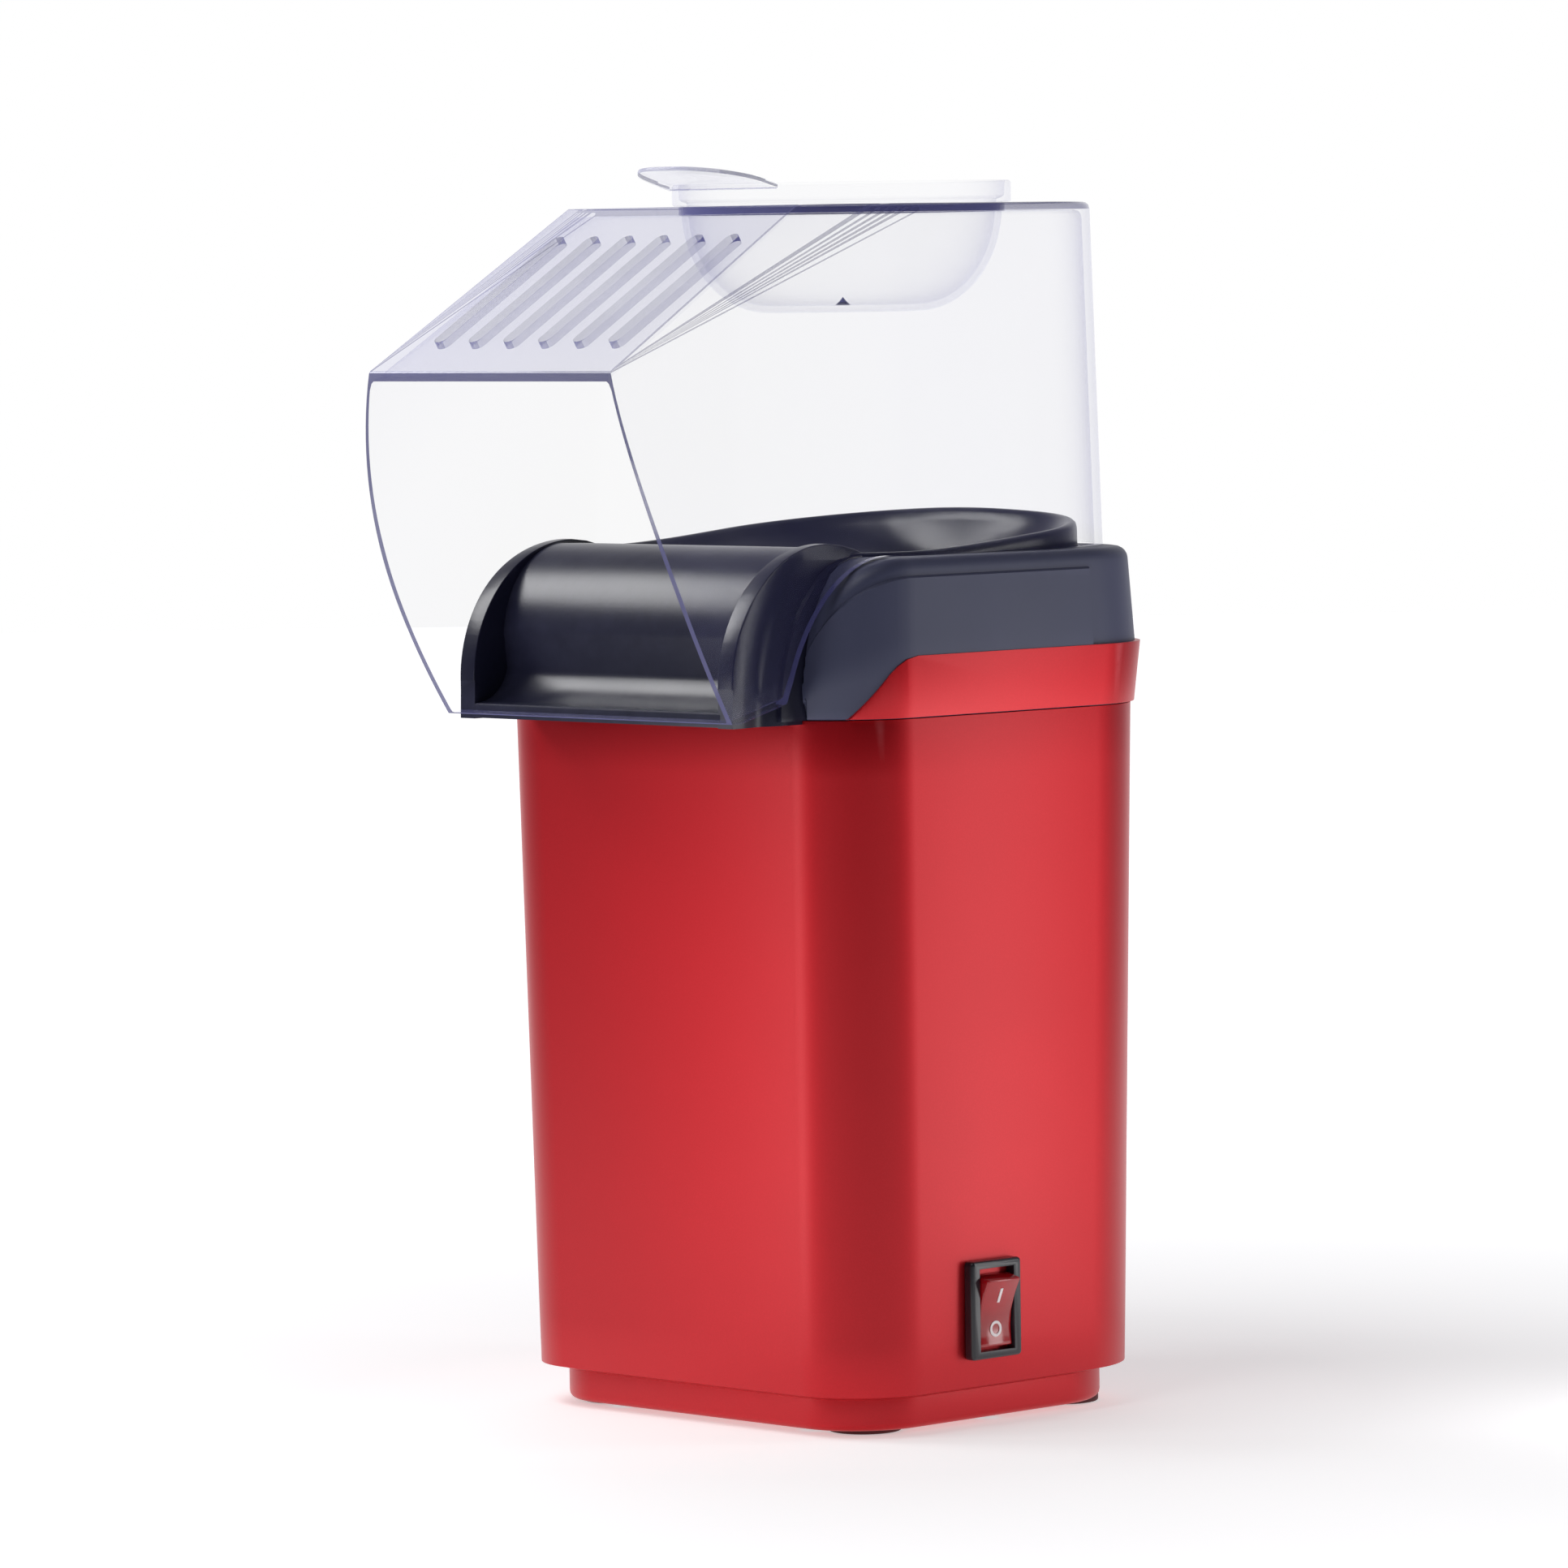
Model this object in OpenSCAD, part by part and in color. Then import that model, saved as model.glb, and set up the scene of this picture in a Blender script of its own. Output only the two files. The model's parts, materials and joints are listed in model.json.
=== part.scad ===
// Hot-air popcorn maker: lift-off clear cover with a measuring cup in its top,
// black upper housing with a chute, tapered body on four feet, and the blower
// and heater inside. Front (chute) is -Y, the switch is on +X, feet on z = 0.

/* [Body] */
// Half of the body's width at its top
body_hw = 58.5; // [56:0.5:61]
// Half of the body's depth at its top
body_hd = 51.2; // [50:0.2:53]
// How much each side draws in from top to bottom
body_taper = 2.2; // [0:0.1:3]
// Radius of the front corners
corner_front = 18.8; // [16:0.2:22]
// Radius of the rear corners
corner_rear = 26.4; // [24:0.2:28]
// Height of the body's bottom edge
body_z0 = 7.8; // [7:0.1:9]
// Height of the body's top edge
body_z1 = 155.5; // [154:0.1:156]
// Wall of the moulded shells
wall = 2; // [1.6:0.1:2.4]

/* [Upper housing] */
// Height of the trim band's top edge, where the housing is widest
band_z1 = 169.1; // [168:0.1:170]
// Height of the deck
deck_z = 190; // [189:0.1:191]
// Half of the chute's width at its front
nose_hw = 43; // [41:0.5:43.5]
// How far forward the chute's front face is
nose_y = -71.6; // [-73:0.1:-70]
// Radius of the curved rims of the chute
rim_r = 30.1; // [29:0.1:31]
// Half of the clear width between the chute's rims
slide_hw = 38; // [36:0.5:39]

/* [Cover] */
// Height of the cover's flat top
hood_z = 266; // [264:0.5:268]
// Half of the cover's width at its foot
hood_hw = 54; // [53:0.2:54.4]
// Half of the cover's depth at its foot
hood_hd = 50; // [49.4:0.2:50.4]
// Corner radius of the cover
hood_r = 30; // [28:0.5:31]
// Wall of the cover
hood_wall = 1.8; // [1.4:0.1:2.2]
// How far forward the brow of the mouth is
mouth_y = -101; // [-103:0.5:-99]
// Height of the brow of the mouth
mouth_z = 231.3; // [229:0.1:233]
// Number of vent slots
vent_n = 6; // [4:1:6]
// Distance between vent slots
vent_pitch = 11; // [10.5:0.1:11.5]
// Width of a vent slot
vent_w = 3.6; // [3:0.1:4]

/* [Measuring cup] */
// Radius of the cup's rim
cup_r = 37.6; // [37:0.1:38]
// Radius of the cup's flat bottom
cup_bottom_r = 17.8; // [15:0.1:20]
// Depth of the bowl below the cover's top
cup_depth = 23.6; // [20:0.1:26]

/* [Switch] */
// Width and height of the switch frame
switch_w = 15.4; // [15:0.1:16]
switch_h = 21.5; // [21:0.1:22]
// Distance of the switch behind the body's middle
switch_y = -9.9; // [-12:0.1:-6]
// Height of the switch's middle
switch_z = 26; // [24:0.5:30]
// Angle that the rocker turns through
rocker_throw = 22; // [16:1:24]

/* [Blower and heater] */
// Distance of the popping chamber's axis behind the body's middle
axis_y = 3; // [2:0.5:4]
// Inner radius of the popping chamber
chamber_r = 36; // [35:0.5:36.5]
// Depth of the popping chamber
chamber_depth = 68; // [64:1:70]
// Radius of the fan wheel
fan_r = 29; // [26:0.5:30]
// Number of fan blades
blade_n = 12; // [8:1:14]
// Turns of the heating coil
coil_turns = 5; // [4:1:6]

/* [Hidden] */
$fn = 64;

RED = "#c8323e";
BLACK = "#42434f";
CLEAR = [0.8, 0.8, 0.92, 0.45];
STEEL = "#b9bcc2";
eps = 0.01;
slice = 0.02;              // thickness of the thin slices that a shell is lofted from
loft_fn = 32;              // facets of a loft's corners

chamber_top = 184;         // underside of the chamber's flange
chamber_z0 = chamber_top - chamber_depth;
plate_z = 70;              // top of the plate that carries motor and duct
plate_r = 40;
duct_r = 35.5;             // inside of the air duct
post_xy = [27, 25];        // posts under the plate, from the blower's axis
taper_d = body_taper * 0.73;  // how much front and back draw in
lip_h = 2.5;               // height of the body's turned-in bottom lip
foot_xy = [39, 31];        // feet
cover_screw_x = 46;        // base screws beside the middle
cover_screw_xy = [30, 38]; // and at the corners
boss_xy = [43, 34];        // screw bosses at the body's corners
motor_r = 15;
motor_z0 = 30;
motor_z1 = 66;
shaft_r = 1.5;
fan_z = 77;                // underside of the fan wheel's disc
heater_z = 94;             // underside of the heater frame
intake_r = 2.6;            // round hole in the middle of the air intake
inlet_z = 20;              // height of the cord inlet
inlet_r = 5;
screw_r = 1.5;
switch_face = 59.1;        // front of the switch frame
rocker_x = 55.6;           // pivot of the rocker
rocker_pin_r = 1;
tag_x = 36;                // inner end of the switch's contact tags
tag_gap = 5;               // how far each tag is from the switch's middle
lead_end = tag_x - 1.5;
running = 0.05;            // radial clearance of pins and shafts
clear_gap = 0.4;           // gap between cover and housing
seam = 0.1;                // gap between the body and the housing on it
flare = 1.5;               // how far the housing stands out at the band's top
deck_front = -33;          // where the shoulder starts to fall away from the deck
shoulder_r = [25.5, 34];   // depth and height of that roll
rim_rise = 3.1;            // how far the chute's rims stand above the deck
coil_pitch = 1.9;
wire_sides = 8;
brow_hw = 38.1;            // half width of the mouth at its brow
vent_in = 12;              // distance of the slots from the brow
vent_len = 43.5;
mouth_n = 12;              // steps down the mouth's edge
crown_y = -43.3;           // where the vent panel meets the flat top
crown_hd = (hood_hd - 1.5 - crown_y) / 2;
crown_mid = (hood_hd - 1.5 + crown_y) / 2;
cup_y = 6;                 // the cup's axis, behind the body's middle

// ---- shared shapes ----

// Thin slice of the plan: square with rounded corners, front and rear radius apart
module plan_slice(hw, hd, rf, rr, z, y = 0) {
    for (sx = [-1, 1]) {
        translate([sx * (hw - rf), y - hd + rf, z]) cylinder(r = rf, h = slice, $fn = loft_fn);
        translate([sx * (hw - rr), y + hd - rr, z]) cylinder(r = rr, h = slice, $fn = loft_fn);
    }
}

// Loft between two such slices
module loft(hw0, hd0, z0, hw1, hd1, z1, rf = corner_front, rr = corner_rear, inset = 0) {
    hull() {
        plan_slice(hw0 - inset, hd0 - inset, rf - inset, rr - inset, z0);
        plan_slice(hw1 - inset, hd1 - inset, rf - inset, rr - inset, z1 - slice);
    }
}

// Side profile (Y right, Z up) carried across the width
module across(hw) {
    translate([-hw, 0, 0]) rotate([90, 0, 90]) linear_extrude(2 * hw) children();
}

// Points of an arc about c from angle a to angle b; r is one radius, or one each way
function arc(c, r, a, b, n) = let (q = is_list(r) ? r : [r, r])
    [for (i = [0 : n]) let (t = a + (b - a) * i / n) c + [q[0] * cos(t), q[1] * sin(t)]];

// Four corner places mirrored about a centre
module corners(xy, y = 0) {
    for (sx = [-1, 1], sy = [-1, 1]) translate([sx * xy[0], y + sy * xy[1], 0]) children();
}

// Pan-head screw standing on its head at z = 0, pointing up
module screw(len, head_r = 2.8, r = screw_r) {
    difference() {
        union() {
            cylinder(r = head_r, h = 1.8);
            translate([0, 0, 1.8 - eps]) cylinder(r = r, h = len + eps);
        }
        for (a = [0, 90]) rotate(a) translate([-head_r * 0.6, -0.4, -eps]) cube([head_r * 1.2, 0.8, 1]);
    }
}

// ---- body and base ----

module body_solid() {
    loft(body_hw - body_taper, body_hd - taper_d, body_z0 + lip_h, body_hw, body_hd, body_z1);
}

// Hollow of the body, open at its top
module body_cavity() {
    loft(body_hw - body_taper, body_hd - taper_d, body_z0 + lip_h - 0.5, body_hw, body_hd, body_z1 + 1,
         inset = wall);
}

module outer_body() {
    color(RED) difference() {
        union() {
            difference() {
                union() {
                    body_solid();
                    loft(body_hw - body_taper - 2, body_hd - body_taper - 2, body_z0,
                         body_hw - body_taper, body_hd - taper_d, body_z0 + lip_h + 0.1);
                }
                body_cavity();
                loft(body_hw - 6.4, body_hd - 6, body_z0 - 1, body_hw - 6.4, body_hd - 6, body_z0 + 5);
            }
            corner_bosses();
        }
        corners(boss_xy) translate([0, 0, body_z1 - 22]) cylinder(r = screw_r - 0.1, h = 40);
        translate([40, switch_y - 6.6, switch_z - 9.8]) cube([30, 13.2, 19.6]);
        translate([0, 60, inlet_z]) rotate([90, 0, 0]) cylinder(r = inlet_r, h = 24);
    }
}

module corner_bosses() {
    for (sx = [-1, 1], sy = [-1, 1]) translate([sx * boss_xy[0], sy * boss_xy[1], body_z1 - 20]) {
        cylinder(r = 4, h = 16);
        rotate(sx > 0 ? 0 : 180) translate([0, -1, 0]) cube([sy > 0 ? 12 : 13.6, 2, 16]);
    }
}

module base_cover() {
    ring_hw = 51.3;
    ring_hd = 44.6;
    color(RED) difference() {
        union() {
            difference() {
                hull() {
                    plan_slice(ring_hw - 0.5, ring_hd - 0.5, 17.2, 23.5, 1);
                    plan_slice(ring_hw, ring_hd, 17.7, 24, body_z0 + 4);
                }
                hull() {
                    plan_slice(ring_hw - wall, ring_hd - wall, 15.7, 22, 3.6);
                    plan_slice(ring_hw - wall, ring_hd - wall, 15.7, 22, body_z0 + 5);
                }
            }
            corners(post_xy, axis_y) translate([0, 0, 3]) cylinder(r = 4, h = plate_z - 3 - 3);
            corners(foot_xy) translate([0, 0, 3]) cylinder(r = 6, h = 5);
        }
        // air intake: slots on both sides of a round hole
        for (i = [-4, -3, -2, -1, 1, 2, 3, 4]) translate([i * 6 - 1.6, -16, -eps]) cube([3.2, 32, 5]);
        translate([0, 0, -eps]) cylinder(r = intake_r, h = 5);
        // screw ways up the posts, from below
        corners(post_xy, axis_y) {
            translate([0, 0, plate_z - 18]) cylinder(r = screw_r - 0.1, h = 30);
        }
        corners(foot_xy) translate([0, 0, -eps]) cylinder(r = 2, h = 6);
        for (s = [-1, 1]) translate([s * cover_screw_x, 0, -eps]) {
            cylinder(r = 1.7, h = 6);
            cylinder(r = 3, h = 2);
        }
        corners(cover_screw_xy) translate([0, 0, -eps]) {
            cylinder(r = 1.7, h = 6);
            cylinder(r = 3, h = 2);
        }
    }
}

module rubber_feet() {
    color("#5a1016") corners(foot_xy) {
        cylinder(r1 = 7.4, r2 = 8, h = 1);
        translate([0, 0, 1 - eps]) cylinder(r = 1.9, h = 4.5);
    }
}

module base_screws() {
    color(STEEL) {
        for (s = [-1, 1]) translate([s * cover_screw_x, 0, 1.3]) screw(6, 2.7);
        corners(cover_screw_xy) translate([0, 0, 1.3]) screw(6, 2.7);
    }
}

// ---- upper housing ----

// Outer form of the housing behind the chute
module housing_block(inset = 0) {
    loft(body_hw + 0.4, body_hd + 0.4, body_z1 + seam, body_hw + flare, body_hd + flare, band_z1,
         inset = inset);
    loft(body_hw + flare, body_hd + flare, band_z1 - slice, body_hw + 0.3, body_hd + 0.3, deck_z - 2,
         inset = inset);
    if (inset == 0) loft(body_hw + 0.3, body_hd + 0.3, deck_z - 2 - slice,
         body_hw - 1.4, body_hd - 1.4, deck_z);
}

// Points of the roll from the shoulder's foot up to the deck
function shoulder_roll() = arc([deck_front, deck_z - shoulder_r[1]], shoulder_r, 175, 90, 14);

// Side view of the shoulder
module shoulder_profile() {
    polygon(concat([[60, 150], [-62, 150]], shoulder_roll(), [[60, deck_z]]));
}

// Side view of the chute with its curved rims
module rim_profile(drop = 0) {
    c = [nose_y + rim_r, deck_z + rim_rise - rim_r];
    polygon(concat([[0, body_z1 - 0.8], [nose_y + drop, body_z1 - 0.8]],
        arc(c, rim_r - drop, 180, 90, 16), [[0, deck_z + rim_rise - drop]]));
}

// Side view of the way down the chute, above which it is open
module slide_profile() {
    lip = [nose_y, body_z1 + 2.6];
    polygon(concat([[nose_y - 5, lip[1]]],
        arc([-71.5, lip[1] + 9], 9, -90, -12, 8),
        arc([-44.5, 172.5], 18, 172, 96, 12),
        [[-20, 188.5], [-20, 230], [nose_y - 5, 230]]));
}

module nose_block() {
    // chute, a little wider at its root
    intersection() {
        across(60) rim_profile();
        hull() for (sx = [-1, 1]) {
            translate([sx * (nose_hw - 1.5), nose_y + 1.5, 150]) cylinder(r = 1.5, h = 50, $fn = loft_fn);
            translate([sx * 44.5, -40, 150]) cylinder(r = 1.5, h = 50, $fn = loft_fn);
        }
    }
}

// Raised collar round the dish, highest at the back
module collar(inset, z0, z1) {
    hull() {
        plan_slice(49.5 - inset, 46.5 - inset, 30 - inset, 30 - inset, z0, 0);
        plan_slice(48.9 - inset, 45.9 - inset, 30 - inset, 30 - inset, z1 - slice, 0);
    }
}

module upper_housing() {
    color(BLACK) difference() {
        union() {
            intersection() {
                housing_block();
                across(70) shoulder_profile();
            }
            difference() {
                nose_block();
                loft(body_hw + 0.2, body_hd + 0.2, body_z1 - 2, body_hw + 0.2, body_hd + 0.2, body_z1 + seam);
            }
            difference() {
                collar(0, deck_z - 4, deck_z + 8);
                // the collar's top falls from back to front
                translate([-70, 46, deck_z + 7.6]) rotate([-4.5, 0, 0]) translate([0, -140, 0]) cube([140, 160, 20]);
            }
        }
        // hollow under the deck and inside the chute
        translate([0, 0, -4.8]) intersection() {
            loft(body_hw - wall, body_hd - wall, 140, body_hw - wall, body_hd - wall, deck_z + 3.5, inset = 0.4);
            across(70) shoulder_profile();
        }
        intersection() {
            translate([0, wall, -wall]) across(nose_hw - wall) rim_profile(3.2);
            translate([0, 3.4, -3.4]) across(80) difference() {
                translate([-100, 120]) square([140, 90]);
                slide_profile();
            }
        }
        across(slide_hw) slide_profile();
        // dish down to the chamber
        translate([0, axis_y, 0]) {
            translate([0, 0, 170]) cylinder(r = chamber_r + 1.4, h = 30);
            translate([0, 0, chamber_top + 2.2]) cylinder(r1 = chamber_r + 1.4, r2 = 44.5, h = 14);
        }
        dish_hollow();
        // recess for the trim band
        band_recess();
    }
    color(BLACK) housing_skirt();
}

module dish_hollow() {
    hull() {
        translate([0, axis_y, chamber_top + 3]) cylinder(r = chamber_r + 1.4, h = slice, $fn = loft_fn);
        plan_slice(47.2, 44.2, 28, 28, deck_z + 4, 0);
        plan_slice(47.2, 44.2, 28, 28, deck_z + 9, 0);
    }
}

module band_recess() {
    intersection() {
        difference() {
            translate([0, 0, body_z1 - 1]) linear_extrude(band_z1 - body_z1 + 1.1) square(140, center = true);
            housing_block(1.6);
        }
        across(70) band_side(0.1);
    }
}

// Side view of the trim band: slanted front ends
module band_side(grow = 0) {
    polygon([[-46.9 - grow, body_z1 - 1.2], [-46.9 - grow, body_z1 - grow], [-39.7 - grow, 165.3],
        [-35.8 - grow, 168.3], [-31, band_z1 + grow], [60, band_z1 + grow], [60, body_z1 - 1.2]]);
}

// Lower wall that reaches into the body and takes the housing screws
module housing_skirt() {
    difference() {
        loft(body_hw, body_hd, 151.6, body_hw, body_hd, 157, inset = wall + 0.4);
        loft(body_hw, body_hd, 151, body_hw, body_hd, 158, inset = wall + 12);
        translate([0, axis_y, 150]) cylinder(r = 42.4, h = 12);
        corners(boss_xy) translate([0, 0, 150]) cylinder(r = screw_r + 0.2, h = 12);
    }
}

module trim_band() {
    color(RED) intersection() {
        difference() {
            loft(body_hw + 0.4, body_hd + 0.4, body_z1 + 0.3, body_hw + flare, body_hd + flare, band_z1,
                 inset = -0.15);
            housing_block(1.5);
        }
        across(70) band_side();
    }
}

module housing_screws() {
    color(STEEL) corners(boss_xy) translate([0, 0, 159]) mirror([0, 0, 1]) screw(18);
}

// ---- popping chamber and heater ----

module popping_chamber() {
    t = 0.8;
    color([0.78, 0.79, 0.8]) translate([0, axis_y, 0]) difference() {
        union() {
            translate([0, 0, chamber_z0]) cylinder(r = chamber_r + t, h = chamber_depth + 1);
            translate([0, 0, chamber_top]) cylinder(r = chamber_r + 3.4, h = 1);
        }
        translate([0, 0, chamber_z0 + 1.2]) cylinder(r = chamber_r, h = chamber_depth + 10);
        // slanting louvres that drive the air round
        for (i = [0 : 17]) rotate(i * 20) translate([chamber_r, 0, chamber_z0 + 9])
            rotate([38, 0, 0]) cube([6, 2.2, 11], center = true);
    }
}

module chamber_gasket() {
    color([0.85, 0.83, 0.78]) translate([0, axis_y, chamber_top - 1.4]) difference() {
        cylinder(r = chamber_r + 3.2, h = 1.3);
        translate([0, 0, -1]) cylinder(r = chamber_r + 1, h = 4);
    }
}

module heat_shield() {
    color([0.66, 0.67, 0.69]) translate([0, axis_y, chamber_z0 + 2.2]) difference() {
        cylinder(r = 41.6, h = 62);
        translate([0, 0, 1]) cylinder(r = 40.8, h = 70);
        translate([0, 0, -1]) cylinder(r = chamber_r + 1.2, h = 4);
    }
}

module air_duct() {
    color([0.9, 0.88, 0.82]) translate([0, axis_y, 0]) difference() {
        union() {
            translate([0, 0, plate_z - 3]) cylinder(r = plate_r, h = 3);
            translate([0, 0, plate_z - eps]) cylinder(r = duct_r + 2, h = chamber_z0 - plate_z + eps);
        }
        translate([0, 0, plate_z]) cylinder(r = duct_r, h = 70);
        translate([0, 0, plate_z - 6]) cylinder(r = 4.4, h = 10);
        for (i = [0 : 3]) rotate(i * 90 + 14) rotate_extrude(angle = 62)
            translate([16.6, plate_z - 4]) square([9, 8]);
        corners(post_xy) translate([0, 0, plate_z - 4]) cylinder(r = 1.7, h = 8);
        for (s = [-1, 1]) translate([s * 10, 0, plate_z - 4]) cylinder(r = 1.7, h = 8);
        // wire outlet
        rotate(-60) translate([duct_r + 1, 0, chamber_z0 - 14]) cube([8, 6, 5], center = true);
    }
}

module duct_screws() {
    color(STEEL) corners(post_xy, axis_y) translate([0, 0, plate_z + 1.8]) mirror([0, 0, 1]) screw(14, 2.6, 1.45);
}

module heater_frame() {
    color([0.82, 0.76, 0.62]) translate([0, axis_y, heater_z]) difference() {
        union() {
            for (a = [0 : 60 : 300]) rotate(a) translate([3.4, -0.6, 0.5]) cube([31, 1.2, 16]);
            cylinder(r = 5, h = 17);
        }
        translate([0, 0, -1]) cylinder(r = 2.6, h = 20);
        // notches that carry the coil
        for (a = [0 : 60 : 300]) rotate(a) translate([22, -1, 6.3]) cube([coil_pitch * coil_turns + 0.9, 2, 2.6]);
    }
}

// Flat spiral of resistance wire in the notches of the frame
module heater_coil() {
    color([0.55, 0.5, 0.47]) translate([0, axis_y, heater_z + 7.6])
        for (k = [0 : coil_turns - 1]) rotate_extrude($fn = 48)
            translate([23.2 + k * coil_pitch, 0]) circle(r = 0.6, $fn = 16);
}

module thermostat() {
    color([0.3, 0.28, 0.27]) translate([28, axis_y - 26, chamber_z0 - 26]) {
        rotate(-43) translate([0.4, 0, 0]) rotate([0, 90, 0]) {
            cylinder(r = 6.4, h = 6);
            translate([0, 0, 6 - eps]) cylinder(r = 4.4, h = 3);
        }
    }
}

module thermal_fuse() {
    color([0.8, 0.8, 0.78]) translate([-30.4, axis_y - 26.2, chamber_z0 - 20]) rotate([90, 0, 47]) {
        translate([0, 0, -5]) cylinder(r = 1.8, h = 10);
        translate([0, 0, -9]) cylinder(r = 0.5, h = 18, $fn = 24);
    }
}

// ---- motor and fan ----

module motor_can() {
    color([0.7, 0.71, 0.73]) translate([0, axis_y, 0]) difference() {
        translate([0, 0, motor_z0]) cylinder(r = motor_r, h = motor_z1 - motor_z0);
        translate([0, 0, motor_z0 - 1]) cylinder(r = motor_r - 1, h = motor_z1 - motor_z0);
        translate([0, 0, motor_z1 - 2]) cylinder(r = 4, h = 4);
        for (s = [-1, 1]) translate([s * 10, 0, motor_z1 - 2]) cylinder(r = 1.4, h = 4);
    }
}

module motor_end_cap() {
    color([0.9, 0.9, 0.86]) translate([0, axis_y, motor_z0 - 3]) difference() {
        union() {
            cylinder(r = motor_r, h = 3 - eps);
            translate([0, 0, 1]) cylinder(r = motor_r - 1.05, h = 4);
        }
        translate([0, 0, -1]) cylinder(r = 4, h = 12);
        translate([0, 0, 3]) cylinder(r = motor_r - 2.4, h = 4);
    }
}

module motor_magnets() {
    color([0.2, 0.2, 0.22]) translate([0, axis_y, motor_z0 + 8])
        for (a = [-50, 130]) rotate(a) rotate_extrude(angle = 100)
            translate([motor_r - 3.6, 0]) square([2.5, 24]);
}

module motor_bushes() {
    color([0.72, 0.55, 0.3]) translate([0, axis_y, 0]) for (z = [motor_z0 - 3, motor_z1 - 2]) translate([0, 0, z])
        difference() {
            cylinder(r = 3.95, h = z < 40 ? 5 : 4);
            translate([0, 0, -1]) cylinder(r = shaft_r + running, h = 8);
        }
}

module carbon_brushes() {
    color([0.15, 0.15, 0.16]) translate([0, axis_y, motor_z0 + 4])
        for (s = [-1, 1]) translate([s * 6.75, 0, 0]) cube([4.5, 2.4, 3], center = true);
}

module motor_screws() {
    color(STEEL) for (s = [-1, 1]) translate([s * 10, axis_y, plate_z + 1.8]) mirror([0, 0, 1]) screw(5.6, 2.6, 1.35);
}

module motor_shaft() {
    color(STEEL) translate([0, axis_y, motor_z0 - 5]) cylinder(r = shaft_r, h = 65);
}

module armature() {
    color([0.5, 0.35, 0.22]) translate([0, axis_y, motor_z0 + 10]) difference() {
        union() {
            cylinder(r = 6, h = 20);
            for (i = [0 : 4]) rotate(i * 72) {
                translate([3, -1.6, 2.5]) cube([6.4, 3.2, 15]);
                rotate(-28) rotate_extrude(angle = 56) translate([8.6, 2]) square([2, 16]);
            }
        }
        translate([0, 0, -1]) cylinder(r = shaft_r, h = 24);
    }
}

module commutator() {
    color([0.72, 0.42, 0.24]) translate([0, axis_y, motor_z0 + 2.2]) difference() {
        cylinder(r = 4.3, h = 6);
        translate([0, 0, -1]) cylinder(r = shaft_r, h = 9);
        for (i = [0 : 4]) rotate(i * 72 + 36) translate([2.8, -0.2, -1]) cube([3, 0.4, 8]);
    }
}

module fan_wheel() {
    color([0.25, 0.26, 0.3]) translate([0, axis_y, fan_z]) difference() {
        union() {
            cylinder(r = fan_r, h = 1.4);
            cylinder(r = 5, h = 9);
            for (i = [0 : blade_n - 1]) rotate(i * 360 / blade_n) translate([6, 0, 0]) rotate(-24)
                translate([0, -0.6, 0]) cube([22, 1.2, 9]);
        }
        translate([0, 0, -1]) cylinder(r = shaft_r, h = 12);
    }
}

module fan_nut() {
    color(STEEL) translate([0, axis_y, fan_z + 9 + eps]) difference() {
        cylinder(r = 3.2, h = 2.4, $fn = 6);
        translate([0, 0, -1]) cylinder(r = shaft_r, h = 5);
    }
}

// ---- electrics ----

module rectifier_board() {
    color([0.75, 0.68, 0.42]) translate([0, axis_y, motor_z0 - 10]) difference() {
        cylinder(r = 13, h = 1.6);
        for (s = [-1, 1]) translate([s * 8, 0, -1]) cylinder(r = 1, h = 4);
    }
}

module rectifier_diodes() {
    color([0.1, 0.1, 0.11]) translate([0, axis_y, motor_z0 - 6.8])
        for (i = [-1.5, -0.5, 0.5, 1.5]) translate([-2.4, i * 4.2, 0]) rotate([0, 90, 0]) {
            cylinder(r = 1.5, h = 4.8);
            translate([0, 0, -2]) cylinder(r = 0.4, h = 8.8, $fn = 16);
        }
}

module terminal_block() {
    color([0.88, 0.87, 0.83]) translate([-35.5, 6, 4]) difference() {
        translate([-6, -12, 0]) cube([12, 24, 11]);
        for (i = [-1, 0, 1]) translate([0, i * 7.4, 5.5]) {
            rotate([0, 90, 0]) cylinder(r = 1.6, h = 20, center = true);
            cylinder(r = 1.9, h = 9);
        }
    }
}

// Insulated wire: one tube of eight sides along a list of points
function unit(v) = v / norm(v);
function run(p, i) = unit(p[min(i + 1, len(p) - 1)] - p[max(i - 1, 0)]);
function side(t) = unit(cross(t, abs(t[2]) < 0.9 ? [0, 0, 1] : [1, 0, 0]));

module wire(p, r = 1.1) {
    n = len(p);
    m = wire_sides;
    rings = [for (i = [0 : n - 1]) let (t = run(p, i), u = side(t), w = cross(t, u))
        for (k = [0 : m - 1]) p[i] + r * (u * cos(k * 360 / m) + w * sin(k * 360 / m))];
    walls = [for (i = [0 : n - 2], k = [0 : m - 1]) let (q = (k + 1) % m)
        each [[i * m + k, i * m + q, (i + 1) * m + q], [i * m + k, (i + 1) * m + q, (i + 1) * m + k]]];
    polyhedron(rings, concat(walls, [[for (k = [m - 1 : -1 : 0]) k]], [[for (k = [0 : m - 1]) (n - 1) * m + k]]));
}

module supply_leads() {
    color([0.16, 0.16, 0.18]) {
        wire([[-8, 40, inlet_z], [-14, 30, 16], [-20, 15, 10], [-25, 13.4, 9.5], [-33, 13.4, 9.5]]);
        wire([[8, 40, inlet_z], [20, 39, inlet_z], [36, 31, inlet_z], [35, 6, inlet_z],
            [lead_end, switch_y, switch_z - tag_gap]]);
    }
}

module heater_leads() {
    color([0.75, 0.2, 0.18]) wire([[lead_end, switch_y, switch_z + tag_gap], [33, -16, 44], [44, -4, 60],
        [42.5, -6, chamber_z0 - 30], [38, -19, chamber_z0 - 15]]);
}

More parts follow.
